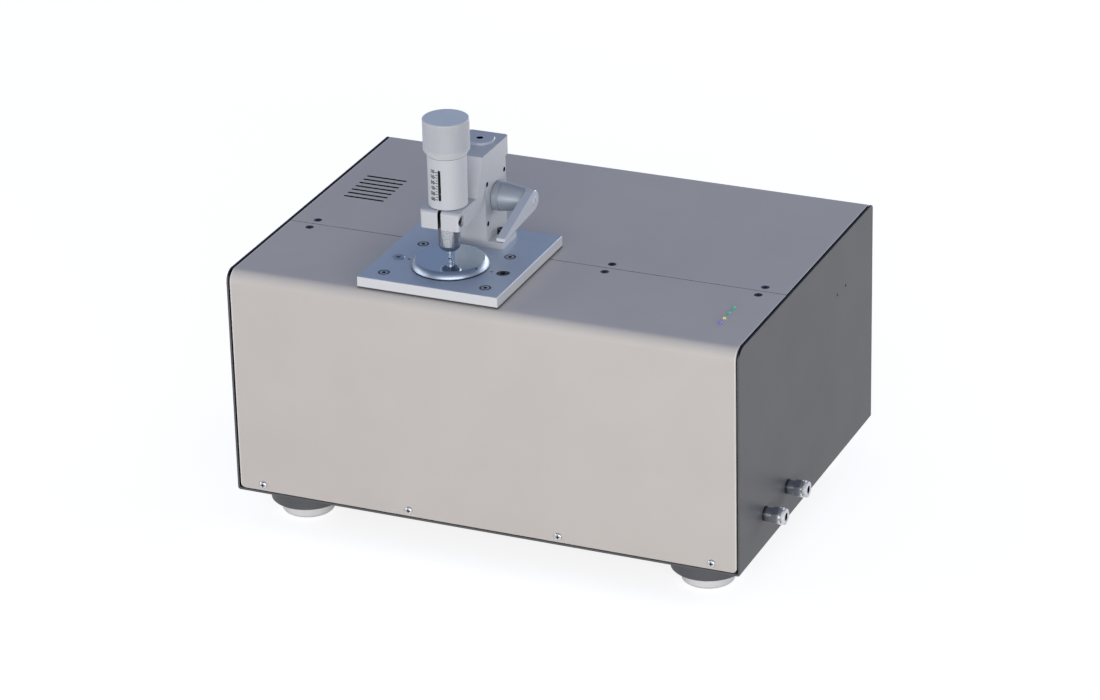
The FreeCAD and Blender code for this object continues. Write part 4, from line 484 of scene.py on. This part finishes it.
nose = turned_steel("nose_steel", colour(176, 178, 182), 0.16, "Z")
speckle = nose.smooth(nose.grain(1.1 * MM, detail=4.0), 0.52, 0.7)
nose.paint(speckle * 0.6, colour(92, 96, 104)).on("guide_nose")
turned_steel("anvil_steel", colour(238, 240, 243), 0.2, "Z").on("anvil_rod", "anvil_tip")
turned_steel("shaft_steel", colour(176, 182, 192), 0.22, "X").on("cam_shaft")
turned_steel("column_steel", colour(186, 190, 198), 0.18, "Z").on("lift_column", "lift_yoke", "lead_screw")
turned_steel("spring_steel", colour(140, 145, 155), 0.3, "Z").on("load_spring")
print("steel turned")

# %% [markdown]
# The sampling disc is lapped and polished so that a drop of liquid spreads evenly. A lapped face still has
# hair-fine rings around its middle. They are noise of the distance from the axis, so they close on
# themselves. Its sloping rim is only turned, and so duller, with two small pin holes for the tool that seats
# it. The pin holes and a thin line where the disc meets the plate are painted dark as shade.

# %% Polished disc
RIM_FROM = 25.2 * MM
RIM_TO = 26.0 * MM
PIN_HOLES = ((24.9, 9.5, 0.55), (26.9, 12.5, 0.5))
SEAT_SHADE = 0.7 * MM
disc_skin = Finish("polished_disc", colour(188, 198, 212), 0.1, 1.0)
from_axis = disc_skin.from_line(SLEEVE_AXIS)
lapped = disc_skin.node("ShaderNodeTexNoise", {"noise_dimensions": "1D"},
                        {"W": from_axis, "Scale": 1 / (0.4 * MM), "Detail": 2.0})
haze = disc_skin.grain(8 * MM)
rim = disc_skin.smooth(from_axis, RIM_FROM, RIM_TO)
disc_skin.feed("Base Color", disc_skin.mix(haze * 0.35, colour(202, 215, 228), colour(184, 198, 214)))
disc_skin.paint(rim, colour(146, 157, 173))
# painted shade along the foot of the disc and in the two pin holes
painted_shade_spots = disc_skin.along("Z") < (plate_high.z + SEAT_SHADE)
for right, forward, radius in PIN_HOLES:
    hole = SLEEVE_AXIS + Vector((right, -forward, 0)) * MM
    painted_shade_spots = disc_skin.either(painted_shade_spots, disc_skin.from_line(hole) < radius * MM)
disc_skin.paint(painted_shade_spots, colour(28, 32, 42))
disc_skin.feed("Roughness", lapped * 0.05 + (haze * 0.06 + (rim * 0.29 + 0.05)))
disc_skin.relief(lapped, 0.003 * MM, 0.1)
disc_skin.on("sample_disc")

# %% [markdown]
# The sample lies on a small crystal in the middle of the disc. It bends light far more than glass does, so
# its face shines strongly. That comes from the refractive index, not from a brighter colour.

# %% Crystal in the middle of the disc
crystal_skin = Finish("crystal_face", colour(120, 140, 150), 0.02, 0.0, IOR=2.42, Coat_Weight=0.3)
crystal_cloud = crystal_skin.grain(0.6 * MM)
crystal_skin.feed("Base Color", crystal_skin.mix(crystal_cloud, colour(96, 116, 128), colour(140, 160, 168)))
crystal_skin.on("crystal")
print("crystal is", round(2 * half("crystal").x / MM, 1), "mm across")

# %% [markdown]
# The dark screws are blackened steel: blued and almost navy along the seam, black oxide on the post and
# under the feet. Wrenches and fingers rub the dark layer off in spots, and the bare steel under it is paler.
# On the blued seam screws and the blued clamp screw of the arm, the pale spots also stand in for painted
# highlights. A noise picks the spots, and each kind of screw has its own share of them. A socket lies in
# shade, so what lies deeper than a quarter millimetre in a seam screw is painted nearly black as shade.

# %% Black oxide
def oxide(name, base, rubbed_and_highlight, rough=0.42, metal=0.6, speck=0.9 * MM, worn=0.6):
    black = Finish(name, base, rough, metal)
    wear = black.grain(speck, detail=4.0)
    black.feed("Base Color", black.mix(black.smooth(wear, 0.55, 0.75) * worn, base, rubbed_and_highlight))
    black.feed("Roughness", wear * 0.2 + (rough - 0.1))
    black.relief(wear, 0.01 * MM, 0.3)
    return black


def dark_below(finish, node, depth):
    """Puts a finish on a piece, nearly black in what lies deeper than a depth under its top."""
    return finish.paint(finish.along("Z") < (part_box(node)[1].z - depth), DEEP_SHADOW).on(node)


# pale blue spots: rubbed steel and painted highlights; the socket below is painted shade
seam_screw = oxide("blued_screw", colour(24, 38, 74), colour(120, 146, 186), speck=1.1 * MM, worn=0.9)
dark_below(seam_screw, "top_cover_screws", 0.25 * MM)
oxide("black_oxide", colour(22, 24, 30), colour(92, 98, 110)).on("foot_bolts")
# pale blue spots: rubbed steel and painted highlights
oxide("blued_socket_screw", colour(24, 32, 52), colour(128, 150, 178), worn=0.8).on("arm_clamp_screw")
oxide("gloss_oxide", colour(14, 15, 19), colour(80, 86, 98), rough=0.26, worn=0.35).on("post_foot_screws")
oxide("matt_oxide", colour(15, 16, 20), colour(48, 52, 60), rough=0.6, metal=0.0).on("post_side_screws")
print("dark screws finished")

# %% [markdown]
# The plate carries two lock screws and four pale screws. One lock screw is bright, with painted shade deep
# in its socket. The other is black and worn; its pale rubbed spots are partly painted highlights, and a ring
# of painted shade lies around its head. The four that hold the plate are as pale as the plate itself, so
# that only the painted shade on their rims and in their sockets stands out.

# %% Lock screws and plate screws
LOCK_RING = 0.8 * MM
worn_lock = oxide("worn_oxide", colour(46, 50, 58), colour(186, 193, 204), speck=1.3 * MM, worn=0.95)
lock_ring_shade = worn_lock.from_line(middle("lock_screw_black")) > (half("lock_screw_black").x - LOCK_RING)
# painted shade at the edge of the black lock screw's head
worn_lock.paint(lock_ring_shade, SHADOW).on("lock_screw_black")
bright_lock = turned_steel("bright_screw", colour(160, 174, 194), 0.45, "Z")
# painted shade deep in the bright lock screw's socket
dark_below(bright_lock, "lock_screw_bright", 0.9 * MM)

pale_screw = blasted("pale_screw", colour(184, 195, 210), rough=0.34, metal=0.5)
head_out = from_head(pale_screw)
rim_painted_shade = head_out > (PLATE_HEAD - 0.7 * MM)
socket_painted_shade = head_out < 1.7 * MM
# painted shade on the rims and in the sockets of the plate screws
pale_screw.paint(pale_screw.either(rim_painted_shade, socket_painted_shade), SHADOW).on("atr_plate_screws")
print("lock ring in mm:", round(LOCK_RING / MM, 1))

# %% [markdown]
# The pan heads that hold the covers and the rear panel are bright chrome with a cross recess. They stand in
# four columns and two rows, so folding the sideways distance twice around the middle brings each head to
# the same place, and one round mask paints shade into every cross recess. The crown of a head stands above
# the mask's depth and stays bright. The lower heads at the back sit on the rear panel, a little further in.

# %% Chrome pan heads, with dark crosses
PAIR_MIDDLE = 118.95 * MM
PAIR_HALF = 59.45 * MM
PAN_RADIUS = 2.9 * MM
CROSS_RADIUS = 1.7 * MM
CROWN = 0.3 * MM
PANEL_INSET = 1.8 * MM
MID_HEIGHT = 100 * MM
chrome = turned_steel("chrome_screw", colour(205, 206, 210), 0.14, "Y")
pan_low, pan_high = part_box("pan_screws")
screw_rows = (pan_low.z + PAN_RADIUS, pan_high.z - PAN_RADIUS)
from_pair = chrome.maths("ABSOLUTE", chrome.off("X", HOUSING_MIDDLE.x) - PAIR_MIDDLE)
from_row = chrome.maths("MINIMUM", chrome.off("Z", screw_rows[0]), chrome.off("Z", screw_rows[1]))
low_back = (chrome.along("Y") > 0) * (chrome.along("Z") < MID_HEIGHT)
crown_at = (pan_high.y - CROWN) - low_back * PANEL_INSET
cross_painted_shade = chrome.reach(from_pair - PAIR_HALF, from_row) < CROSS_RADIUS
# painted shade in the cross recesses
chrome.paint(cross_painted_shade * (chrome.off("Y", 0.0) < crown_at), colour(24, 25, 30)).on("pan_screws")
print("screw rows in mm:", [round(row / MM, 1) for row in screw_rows])

# %% [markdown]
# Each foot is a dark grey moulded disc on a pale soft pad. Moulded plastic keeps the fine erosion of its
# mould, and the rubber pad is matt and slightly mottled, and its colour is a little darker towards the
# bench. The gasket under the plate is black rubber.

# %% Feet and gasket
foot_plastic = Finish("foot_plastic", colour(66, 68, 74), 0.5)
erosion = foot_plastic.grain(0.5 * MM, detail=3.0)
foot_plastic.feed("Base Color", foot_plastic.mix(erosion, colour(66, 68, 73), colour(88, 90, 95)))
foot_plastic.feed("Roughness", erosion * 0.15 + 0.48)
foot_plastic.relief(erosion, 0.04 * MM, 0.4)
foot_plastic.on("foot_discs")

DARKENING_HEIGHT = 4 * MM
pad_rubber = Finish("pad_rubber", colour(224, 225, 228), 0.7, Specular_IOR_Level=0.25)
mottle = pad_rubber.grain(2.5 * MM, detail=4.0)
# the pad's colour grows darker towards the bench
darkening = 1 - pad_rubber.smooth(pad_rubber.along("Z"), 0.0, DARKENING_HEIGHT)
mottled_and_darkened = mottle * 0.3 + darkening * 0.4
pad_rubber.feed("Base Color", pad_rubber.mix(mottled_and_darkened, colour(226, 227, 231), colour(196, 196, 199)))
pad_rubber.feed("Roughness", mottle * 0.15 + 0.62)
pad_rubber.relief(mottle, 0.03 * MM, 0.3)
pad_rubber.on("foot_pads")

gasket_rubber = Finish("gasket_rubber", colour(24, 24, 27), 0.75, Specular_IOR_Level=0.2)
gasket_grain = gasket_rubber.grain(0.6 * MM)
gasket_rubber.feed("Base Color", gasket_rubber.mix(gasket_grain, colour(20, 20, 23), colour(36, 36, 40)))
gasket_rubber.feed("Roughness", gasket_grain * 0.2 + 0.65)
gasket_rubber.on("plate_gasket")
print("dust on the pads up to", round(DARKENING_HEIGHT / MM), "mm")

# %% [markdown]
# Four indicators stand in a row from back to front: two green, one pale yellow and one violet. They are equal
# pieces, so one material paints them all, and the distance from the front picks the colour. A faint glow
# inside tells that the instrument is on, without lighting anything around it.

# %% Indicators
led_low, led_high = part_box("indicator_leds")
led_skin = Finish("indicator_lens", colour(40, 150, 120), 0.14, 0.0, Emission_Strength=0.18, Coat_Weight=0.4)
share_back = (led_skin.along("Y") - led_low.y) / (led_high.y - led_low.y)
front_pair = led_skin.mix(share_back > 0.18, colour(92, 88, 205), colour(196, 198, 128))
tint = led_skin.mix(share_back > 0.48, front_pair, colour(6, 160, 128))
lens_top = led_skin.smooth(led_skin.along("Z"), led_high.z - 0.7 * MM, led_high.z)
led_skin.feed("Base Color", led_skin.mix(lens_top * 0.25, tint, colour(236, 242, 244)))
led_skin.feed("Emission Color", tint)
led_skin.on("indicator_leds")
print("indicators along", round((led_high.y - led_low.y) / MM, 1), "mm")

# %% [markdown]
# The purge fittings are nickel-plated brass, which is whiter and softer than chrome. Their necks and
# hexagons are painted dark with painted shade and the painted reflection of the dark wall, darkest against
# the wall, and only the collars at the end keep the bright colour of the plating.

# %% Purge fittings
NECK_SHADE = (0.5 * MM, 3.5 * MM)
BRIGHT_END = (10.6 * MM, 12.0 * MM)
nickel = Finish("nickel_plate", colour(206, 206, 210), 0.24, 0.9)
plating = nickel.grain(1.2 * MM, detail=3.0)
from_wall = nickel.along("X") - tub_high.x
neck_end = nickel.smooth(from_wall, *NECK_SHADE)
# painted shade and painted reflection of the wall on the necks and hexagons
wall_shade_and_reflection_tone = nickel.mix(neck_end, colour(76, 80, 92), colour(160, 164, 174))
bright_tone = nickel.mix(plating * 0.3, colour(218, 218, 221), colour(192, 193, 199))
nickel.feed("Base Color", nickel.mix(nickel.smooth(from_wall, *BRIGHT_END), wall_shade_and_reflection_tone, bright_tone))
nickel.feed("Roughness", plating * 0.08 + 0.22)
nickel.relief(plating, 0.004 * MM, 0.15)
nickel.on("purge_fittings")
print("fittings bright beyond", round(BRIGHT_END[0] / MM, 1), "mm from the wall")

# %% [markdown]
# The release rings, the sockets and the switch are moulded plastic, which has a slight gloss and the fine
# texture of its mould. A ring's bore is a deep hole for the tube, so it is painted dark behind its end face.

# %% Moulded plastic
def moulded(name, base, rough, grain_size=0.5 * MM):
    plastic = Finish(name, base, rough, Specular_IOR_Level=0.5)
    texture = plastic.grain(grain_size, detail=3.0)
    plastic.feed("Base Color", plastic.mix(texture * 0.5, base, darker(base, 0.85)))
    plastic.feed("Roughness", texture * 0.14 + (rough - 0.07))
    plastic.relief(texture, 0.02 * MM, 0.3)
    return plastic


TUBE_BORE = 3.2 * MM
RING_FACE = 0.4 * MM
ring_plastic = moulded("release_ring", colour(226, 229, 233), 0.35)
front_ring = middle("purge_collet_front")
rear_ring = middle("purge_collet_rear")
from_rings = [ring_plastic.off("Y", ring.y) for ring in (front_ring, rear_ring)]
from_ring = ring_plastic.maths("MINIMUM", *from_rings)
in_bore = ring_plastic.reach(from_ring, ring_plastic.along("Z") - front_ring.z) < TUBE_BORE
behind_face = ring_plastic.along("X") < (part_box("purge_collet_front")[1].x - RING_FACE)
ring_plastic.paint(in_bore * behind_face, colour(22, 23, 27)).on("purge_collet_front", "purge_collet_rear")
moulded("socket_plastic", colour(30, 31, 34), 0.5).on("power_socket", "switch_body", "switch_rocker")
moulded("canister_plastic", colour(222, 221, 214), 0.55).on("desiccant_canister")
print("rings dark within", round(TUBE_BORE / MM, 1), "mm of their axis")

# %% [markdown]
# Under the covers nothing is polished for looks, but it is still finished: a cast optics plate with milled
# faces, black anodised housings that must not reflect light, a zinc-plated rail with its crystal pattern, and
# a coated window in the beamsplitter.

# %% Optics and rail
cast = blasted("cast_aluminium", colour(178, 180, 184), rough=0.5, metal=0.6)
cast.on("optics_plate", "beamsplitter_block", "scan_carriage", "collimator", "beam_riser", "fixed_mirror",
        "mirror_frame")
anodised = oxide("black_anodised", colour(26, 26, 28), colour(60, 62, 66), rough=0.6, metal=0.3)
anodised.on("infrared_source", "reference_laser", "detector", "coil_magnet")

zinc = Finish("zinc_plate", colour(178, 182, 188), 0.35, 0.85)
spangle = zinc.node("ShaderNodeTexVoronoi", {}, {"Vector": zinc.place(), "Scale": 1 / (6 * MM)}, "Color")
flake = zinc.node("ShaderNodeSeparateColor", {}, {0: spangle}, 0)
zinc.feed("Base Color", zinc.mix(flake * 0.5, colour(186, 190, 196), colour(150, 155, 165)))
zinc.feed("Roughness", flake * 0.15 + 0.28)
zinc.on("cross_rail")

window = Finish("coated_window", colour(214, 224, 230), 0.03, IOR=1.5, Coat_Weight=0.5)
film = window.grain(10 * MM)
window.feed("Base Color", window.mix(film, colour(206, 220, 232), colour(230, 222, 236)))
window.on("beamsplitter")
print("optics and rail finished")

# %% [markdown]
# The circuit boards are green, with copper tracks that show faintly through the lacquer. The parts on the
# main board belong to the same piece, so their height over the board picks black for them, and their
# place at the back picks the bare metal of the data socket. The small indicator board shares the finish. It
# lies far higher, right under the cover, and has no such parts.

# %% Circuit boards
PARTS_OVER = 9.7 * MM
PARTS_UNDER = 150 * MM
SOCKET_DEPTH = 16.5 * MM
board_low, board_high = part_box("main_board")
board = Finish("circuit_lacquer", colour(22, 84, 52), 0.35, Coat_Weight=0.3)
tracks = board.node("ShaderNodeTexBrick", {"offset": 0.5},
                    {"Vector": board.place(), "Scale": 1 / (5 * MM), "Mortar Size": 0.03}, "Fac")
board.feed("Base Color", board.mix(tracks, colour(18, 74, 46), colour(52, 120, 78)))
board_parts = (board.along("Z") > (board_low.z + PARTS_OVER)) * (board.along("Z") < PARTS_UNDER)
at_back = board.along("Y") > (board_high.y - SOCKET_DEPTH)
board.paint(board_parts, board.mix(at_back, colour(30, 31, 35), colour(150, 153, 160)))
board.feed("Roughness", tracks * 0.1 + 0.3)
board.on("main_board", "led_board")
print("board parts begin", round(PARTS_OVER / MM, 1), "mm over the lowest point")

# %% [markdown]
# The load nut shows in the slot of the sleeve, and its pointer is read against the scale. A pale line near
# the top of its front is a painted highlight where the nut's upper edge catches the light: a thin level band
# at the front end of the blued nut.

# %% Load nut with its pointer
HIGHLIGHT_DOWN = 1.0 * MM
HIGHLIGHT_HALF = 0.25 * MM
POINTER_OUT = 8 * MM
blued_nut = oxide("blued_nut", colour(20, 21, 25), colour(44, 46, 52), rough=0.5)
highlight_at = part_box("load_nut")[1].z - HIGHLIGHT_DOWN
painted_highlight_line = blued_nut.off("Z", highlight_at) < HIGHLIGHT_HALF
at_front = blued_nut.along("Y") < (SLEEVE_AXIS.y - POINTER_OUT)
# painted highlight on the nut's upper front edge
blued_nut.paint(painted_highlight_line * at_front, colour(214, 217, 222)).on("load_nut")
print("pointer line at z =", round(highlight_at / MM, 1), "mm")

# %% [markdown]
# A black scale is printed to the left of the slot in the sleeve: a comb of fine lines, and a number for every
# second line. Printing follows the cylinder, so each flat drawing is made as a mesh and then wrapped: the
# distance sideways becomes an angle around the axis. The ink stands two hundredths of a millimetre proud,
# which is enough to keep it clear of the metal under it.

# %% Wrap flat meshes around the sleeve
INK_HEIGHT = 0.02 * MM


def placed(name, data):
    """A new object in the scene."""
    thing = bpy.data.objects.new(name, data)
    bpy.context.scene.collection.objects.link(thing)
    return thing


def mesh_of(drawing, name):
    """Turns a drawing into a mesh."""
    mesh = bpy.data.meshes.new(name)
    drawing.to_mesh(mesh)
    drawing.free()
    return mesh


def wrapped(mesh, sideways, upwards, squeeze=1.0):
    """Moves a flat drawing in x and y onto the front of the sleeve, in metres."""
    radius = SLEEVE_RADIUS + INK_HEIGHT
    for vertex in mesh.vertices:
        angle = (vertex.co.x * squeeze + sideways) / SLEEVE_RADIUS - math.pi / 2
        x = SLEEVE_AXIS.x + radius * math.cos(angle)
        y = SLEEVE_AXIS.y + radius * math.sin(angle)
        vertex.co = Vector((x, y, upwards + vertex.co.y))
    mesh.update()


def printed(name, mesh, finish, body):
    """A thin piece on a body, in the given finish."""
    piece = placed(name, mesh)
    mesh.materials.clear()
    mesh.materials.append(finish.material)
    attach(piece, body)


print("ink stands", INK_HEIGHT / MM, "mm proud")

# %% [markdown]
# The lines are thin rectangles. Each is cut into four along its length, because an uncut one would bend only
# at its ends and dip into the metal. The ink is slightly porous, so that it doesn't look like a hole.

# %% Lines of the scale
SCALE_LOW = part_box("load_nut")[0].z + 1.9 * MM
SCALE_STEP = 4.25 * MM
LINE_HALF = 0.26 * MM
LINE_RIGHT = -1.35 * MM
LONG_LEFT = -3.7 * MM
SHORT_LEFT = -3.1 * MM
LINE_PARTS = 4
scale_ink = Finish("scale_ink", colour(34, 36, 42), 0.6)
pores = scale_ink.grain(0.12 * MM, detail=3.0)
scale_ink.feed("Base Color", scale_ink.mix(pores * 0.7, colour(10, 11, 14), colour(34, 36, 42)))
scale_ink.feed("Roughness", pores * 0.2 + 0.5)

drawing = bmesh.new()
for step in range(11):
    left = SHORT_LEFT if step % 2 else LONG_LEFT
    line = step * SCALE_STEP / 2
    places = [left + (LINE_RIGHT - left) * part / LINE_PARTS for part in range(LINE_PARTS + 1)]
    lower = [drawing.verts.new((x, line - LINE_HALF, 0)) for x in places]
    upper = [drawing.verts.new((x, line + LINE_HALF, 0)) for x in places]
    for part in range(LINE_PARTS):
        drawing.faces.new((lower[part], lower[part + 1], upper[part + 1], upper[part]))
scale_lines = mesh_of(drawing, "bars")
wrapped(scale_lines, 0.0, SCALE_LOW)
printed("scale_lines", scale_lines, scale_ink, "arm")
print("scale lines:", len(scale_lines.polygons) // LINE_PARTS)

# %% [markdown]
# The numbers are real text, turned into a mesh once Blender has laid it out, and then wrapped like the lines.
# They are a little bold, as printed figures are that have to be read from an arm's length.

# %% Numbers of the scale
for step in range(6):
    lettering = bpy.data.curves.new("number", "FONT")
    lettering.body = str(60 - 10 * step)
    lettering.size = 3.7 * MM
    lettering.offset = 0.17 * MM
    lettering.align_x = "RIGHT"
    lettering.align_y = "CENTER"
    lettering.resolution_u = 2
    holder = placed("number_text", lettering)
    bpy.context.view_layer.update()
    laid_out = holder.evaluated_get(bpy.context.evaluated_depsgraph_get())
    number = bpy.data.meshes.new_from_object(laid_out)
    bpy.data.objects.remove(holder)
    wrapped(number, -3.9 * MM, SCALE_LOW + step * SCALE_STEP, squeeze=1.12)
    printed("scale_number_%d" % step, number, scale_ink, "arm")
print("scale numbers from", round(SCALE_LOW / MM, 1), "mm upwards")

# %% [markdown]
# The rocker switch at the back has the two usual marks, a ring for off and a bar for on, printed in white on
# its two sloping halves. Each is drawn flat, laid on its half, and tipped with the rocker about its pin,
# whose place comes from the joint in the record.

# %% Marks on the rocker switch
MARK_HEIGHT = 0.03 * MM
ROCKER_CREST = 2.4 * MM
ROCKER_TIP = Matrix.Rotation(math.radians(-8), 3, "X")
HALF_SLOPE = Vector((0, 1.0, 5.2)).normalized()
MARK_OUT = 2.9 * MM
mark_white = moulded("mark_white", colour(226, 226, 226), 0.5, 0.2 * MM)
joints = frame["record"]["behaviour"]["joints"]
pin = next(Vector(joint["pos_m"]) for joint in joints if joint["name"] == "rocker_tip")


def on_rocker(x, along_half, upper):
    """A point on the upper or lower half, with x to the right as seen from behind."""
    slope = Vector(HALF_SLOPE) if upper else Vector((0, HALF_SLOPE.y, -HALF_SLOPE.z))
    point = Vector((-x, ROCKER_CREST + MARK_HEIGHT, 0)) + slope * along_half
    return pin + ROCKER_TIP @ point


def mark(name, faces, upper):
    """One mesh of faces, each with its corners given as places on a half of the rocker."""
    drawing = bmesh.new()
    for corners in faces:
        drawing.faces.new([drawing.verts.new(on_rocker(x, along_half, upper)) for x, along_half in corners])
    bmesh.ops.remove_doubles(drawing, verts=drawing.verts, dist=0.001 * MM)
    printed(name, mesh_of(drawing, name), mark_white, "rocker")


def circle(radius, count=28):
    turns = [2 * math.pi * k / count for k in range(count)]
    return [(radius * math.cos(a), MARK_OUT + radius * math.sin(a)) for a in turns]


outer = circle(1.35 * MM)
inner = circle(1.0 * MM)
ring = [(outer[k - 1], outer[k], inner[k], inner[k - 1]) for k in range(len(outer))]
mark("switch_ring", ring, upper=False)
bar_half, bar_low, bar_high = 0.19 * MM, 1.6 * MM, 4.2 * MM
bar = [(-bar_half, bar_low), (bar_half, bar_low), (bar_half, bar_high), (-bar_half, bar_high)]
mark("switch_bar", [bar], upper=True)
print("switch pin in mm:", [round(value / MM, 1) for value in pin])

# %% [markdown]
# The scene around it is a plain white table that sweeps up into a low backdrop far behind, all round, so that
# level views end in white too. It is one surface turned about the middle: flat out to seven metres, then
# a quarter circle.

# %% Floor
FLAT_RADII = (2.0, 5.0, 7.0)
SWEEP_RADIUS = 2.0
FLOOR_SIDES = 64
sweep = [(radius, 0.0) for radius in FLAT_RADII]
for degrees in range(15, 91, 15):
    climb = math.radians(degrees)
    sweep.append((FLAT_RADII[-1] + SWEEP_RADIUS * math.sin(climb), SWEEP_RADIUS * (1 - math.cos(climb))))
drawing = bmesh.new()
rings = []
for radius, height in sweep:
    turns = [2 * math.pi * k / FLOOR_SIDES for k in range(FLOOR_SIDES)]
    rings.append([drawing.verts.new((radius * math.cos(a), radius * math.sin(a), height)) for a in turns])
drawing.faces.new(rings[0])
for inner_ring, outer_ring in zip(rings, rings[1:]):
    for k in range(FLOOR_SIDES):
        drawing.faces.new((inner_ring[k - 1], outer_ring[k - 1], outer_ring[k], inner_ring[k]))
floor_mesh = mesh_of(drawing, "floor")
for face in floor_mesh.polygons:
    face.use_smooth = True
floor = placed("floor", floor_mesh)
print("floor sweeps up to", round(sweep[-1][1], 2), "m at", sweep[-1][0], "m")

# %% [markdown]
# The floor is an ordinary pale surface for the light that bounces off it. To the camera, and in reflections
# and through glass, it also shines, so that the background comes out white while the soft shadow under the
# feet stays.

# %% The floor shines to the camera and in reflections
FLOOR_SHARE = 0.45
FLOOR_GLOW = 0.8
floor_skin = Finish("pale_floor", (FLOOR_SHARE, FLOOR_SHARE, FLOOR_SHARE, 1), 0.9, Specular_IOR_Level=0.0)
seen = floor_skin.node("ShaderNodeLightPath", {}, {}, "Is Camera Ray")
for ray in ("Is Glossy Ray", "Is Transmission Ray"):
    seen = floor_skin.either(seen, floor_skin.node("ShaderNodeLightPath", {}, {}, ray))
glow = floor_skin.node("ShaderNodeEmission", {}, {"Color": (1, 1, 1, 1), "Strength": seen * FLOOR_GLOW})
pale = Wire(floor_skin, floor_skin.shader.outputs[0])
both = floor_skin.node("ShaderNodeAddShader", {}, {0: pale, 1: glow})
floor_skin.tree.links.new(both.socket, floor_skin.tree.nodes["Material Output"].inputs["Surface"])
floor_mesh.materials.append(floor_skin.material)
print("floor sends back", FLOOR_SHARE, "of the light and glows with", FLOOR_GLOW)

# %% [markdown]
# The light in the room is cool and weak from above and a little warm from the sides. The sky is therefore a
# dim blue grey, the same for every ray, and soft lamps at the height of the instrument do the rest.

# %% Sky
SKY_STRENGTH = 0.4
world = bpy.data.worlds.new("studio")
bpy.context.scene.world = world
world.use_nodes = True
sky_light = world.node_tree.nodes["Background"]
sky_light.inputs["Color"].default_value = (0.57, 0.69, 1.0, 1)
sky_light.inputs["Strength"].default_value = SKY_STRENGTH
print("sky strength", SKY_STRENGTH)

# %% [markdown]
# Three wide, low lamps stand around the instrument and look at its middle: the strongest under the camera, a
# weak one at the left, and one behind, so that the back isn't left in the dark. Wide lamps give the soft
# light of a catalogue picture, at a level at which a colour renders about as it is written.

# %% Lamps
LAMP_HEIGHT = 0.62
LAMP_TALL = 1.0
LAMP_TARGET = Vector((0, 0, 0.12))


def lamp(name, x, y, width, power, tint):
    """A soft rectangular lamp that looks at the instrument."""
    light = bpy.data.lights.new(name, "AREA")
    light.shape = "RECTANGLE"
    light.size = width
    light.size_y = LAMP_TALL
    light.energy = power
    light.color = tint
    stand = placed(name, light)
    stand.location = (x, y, LAMP_HEIGHT)
    stand.rotation_euler = (LAMP_TARGET - Vector((x, y, LAMP_HEIGHT))).to_track_quat("-Z", "Y").to_euler()


lamp("front_lamp", 1.27, -2.86, 4.6, 90, (1.0, 0.955, 0.88))
lamp("left_lamp", -2.8, -1.0, 2.4, 24, (1.0, 0.97, 0.93))
lamp("back_lamp", 1.3, 2.75, 3.4, 48, (1.0, 0.98, 0.96))
print("lamps look at z =", round(LAMP_TARGET.z, 2), "m")

# %% [markdown]
# The camera stands where the photographer stood: turned a little more than 23 degrees to the right of the
# front, looking 25 degrees down, with a long lens and the horizon tilted by just over one degree.

# %% Camera
TURN = math.radians(23.68)
DOWN = math.radians(24.7967)
TILT = math.radians(-1.3936)
CAMERA_PLACE = Vector((1.19703, -2.76011, 1.50273))
LENS = 145.27
towards = Vector((math.sin(TURN) * math.cos(DOWN), -math.cos(TURN) * math.cos(DOWN), math.sin(DOWN)))
level = Vector((math.cos(TURN), math.sin(TURN), 0))
upright = towards.cross(level)
side = level * math.cos(TILT) + upright * math.sin(TILT)
top = upright * math.cos(TILT) - level * math.sin(TILT)
camera_data = bpy.data.cameras.new("camera")
camera_data.lens = LENS
camera_data.sensor_width = 36.0
camera_data.sensor_fit = "HORIZONTAL"
camera_data.clip_end = 50.0
camera = placed("camera", camera_data)
camera.matrix_world = Matrix.Translation(CAMERA_PLACE) @ Matrix((side, top, towards)).transposed().to_4x4()
bpy.context.scene.camera = camera
bpy.context.scene.view_settings.view_transform = "Standard"
print("camera distance in m:", round(CAMERA_PLACE.length, 2))
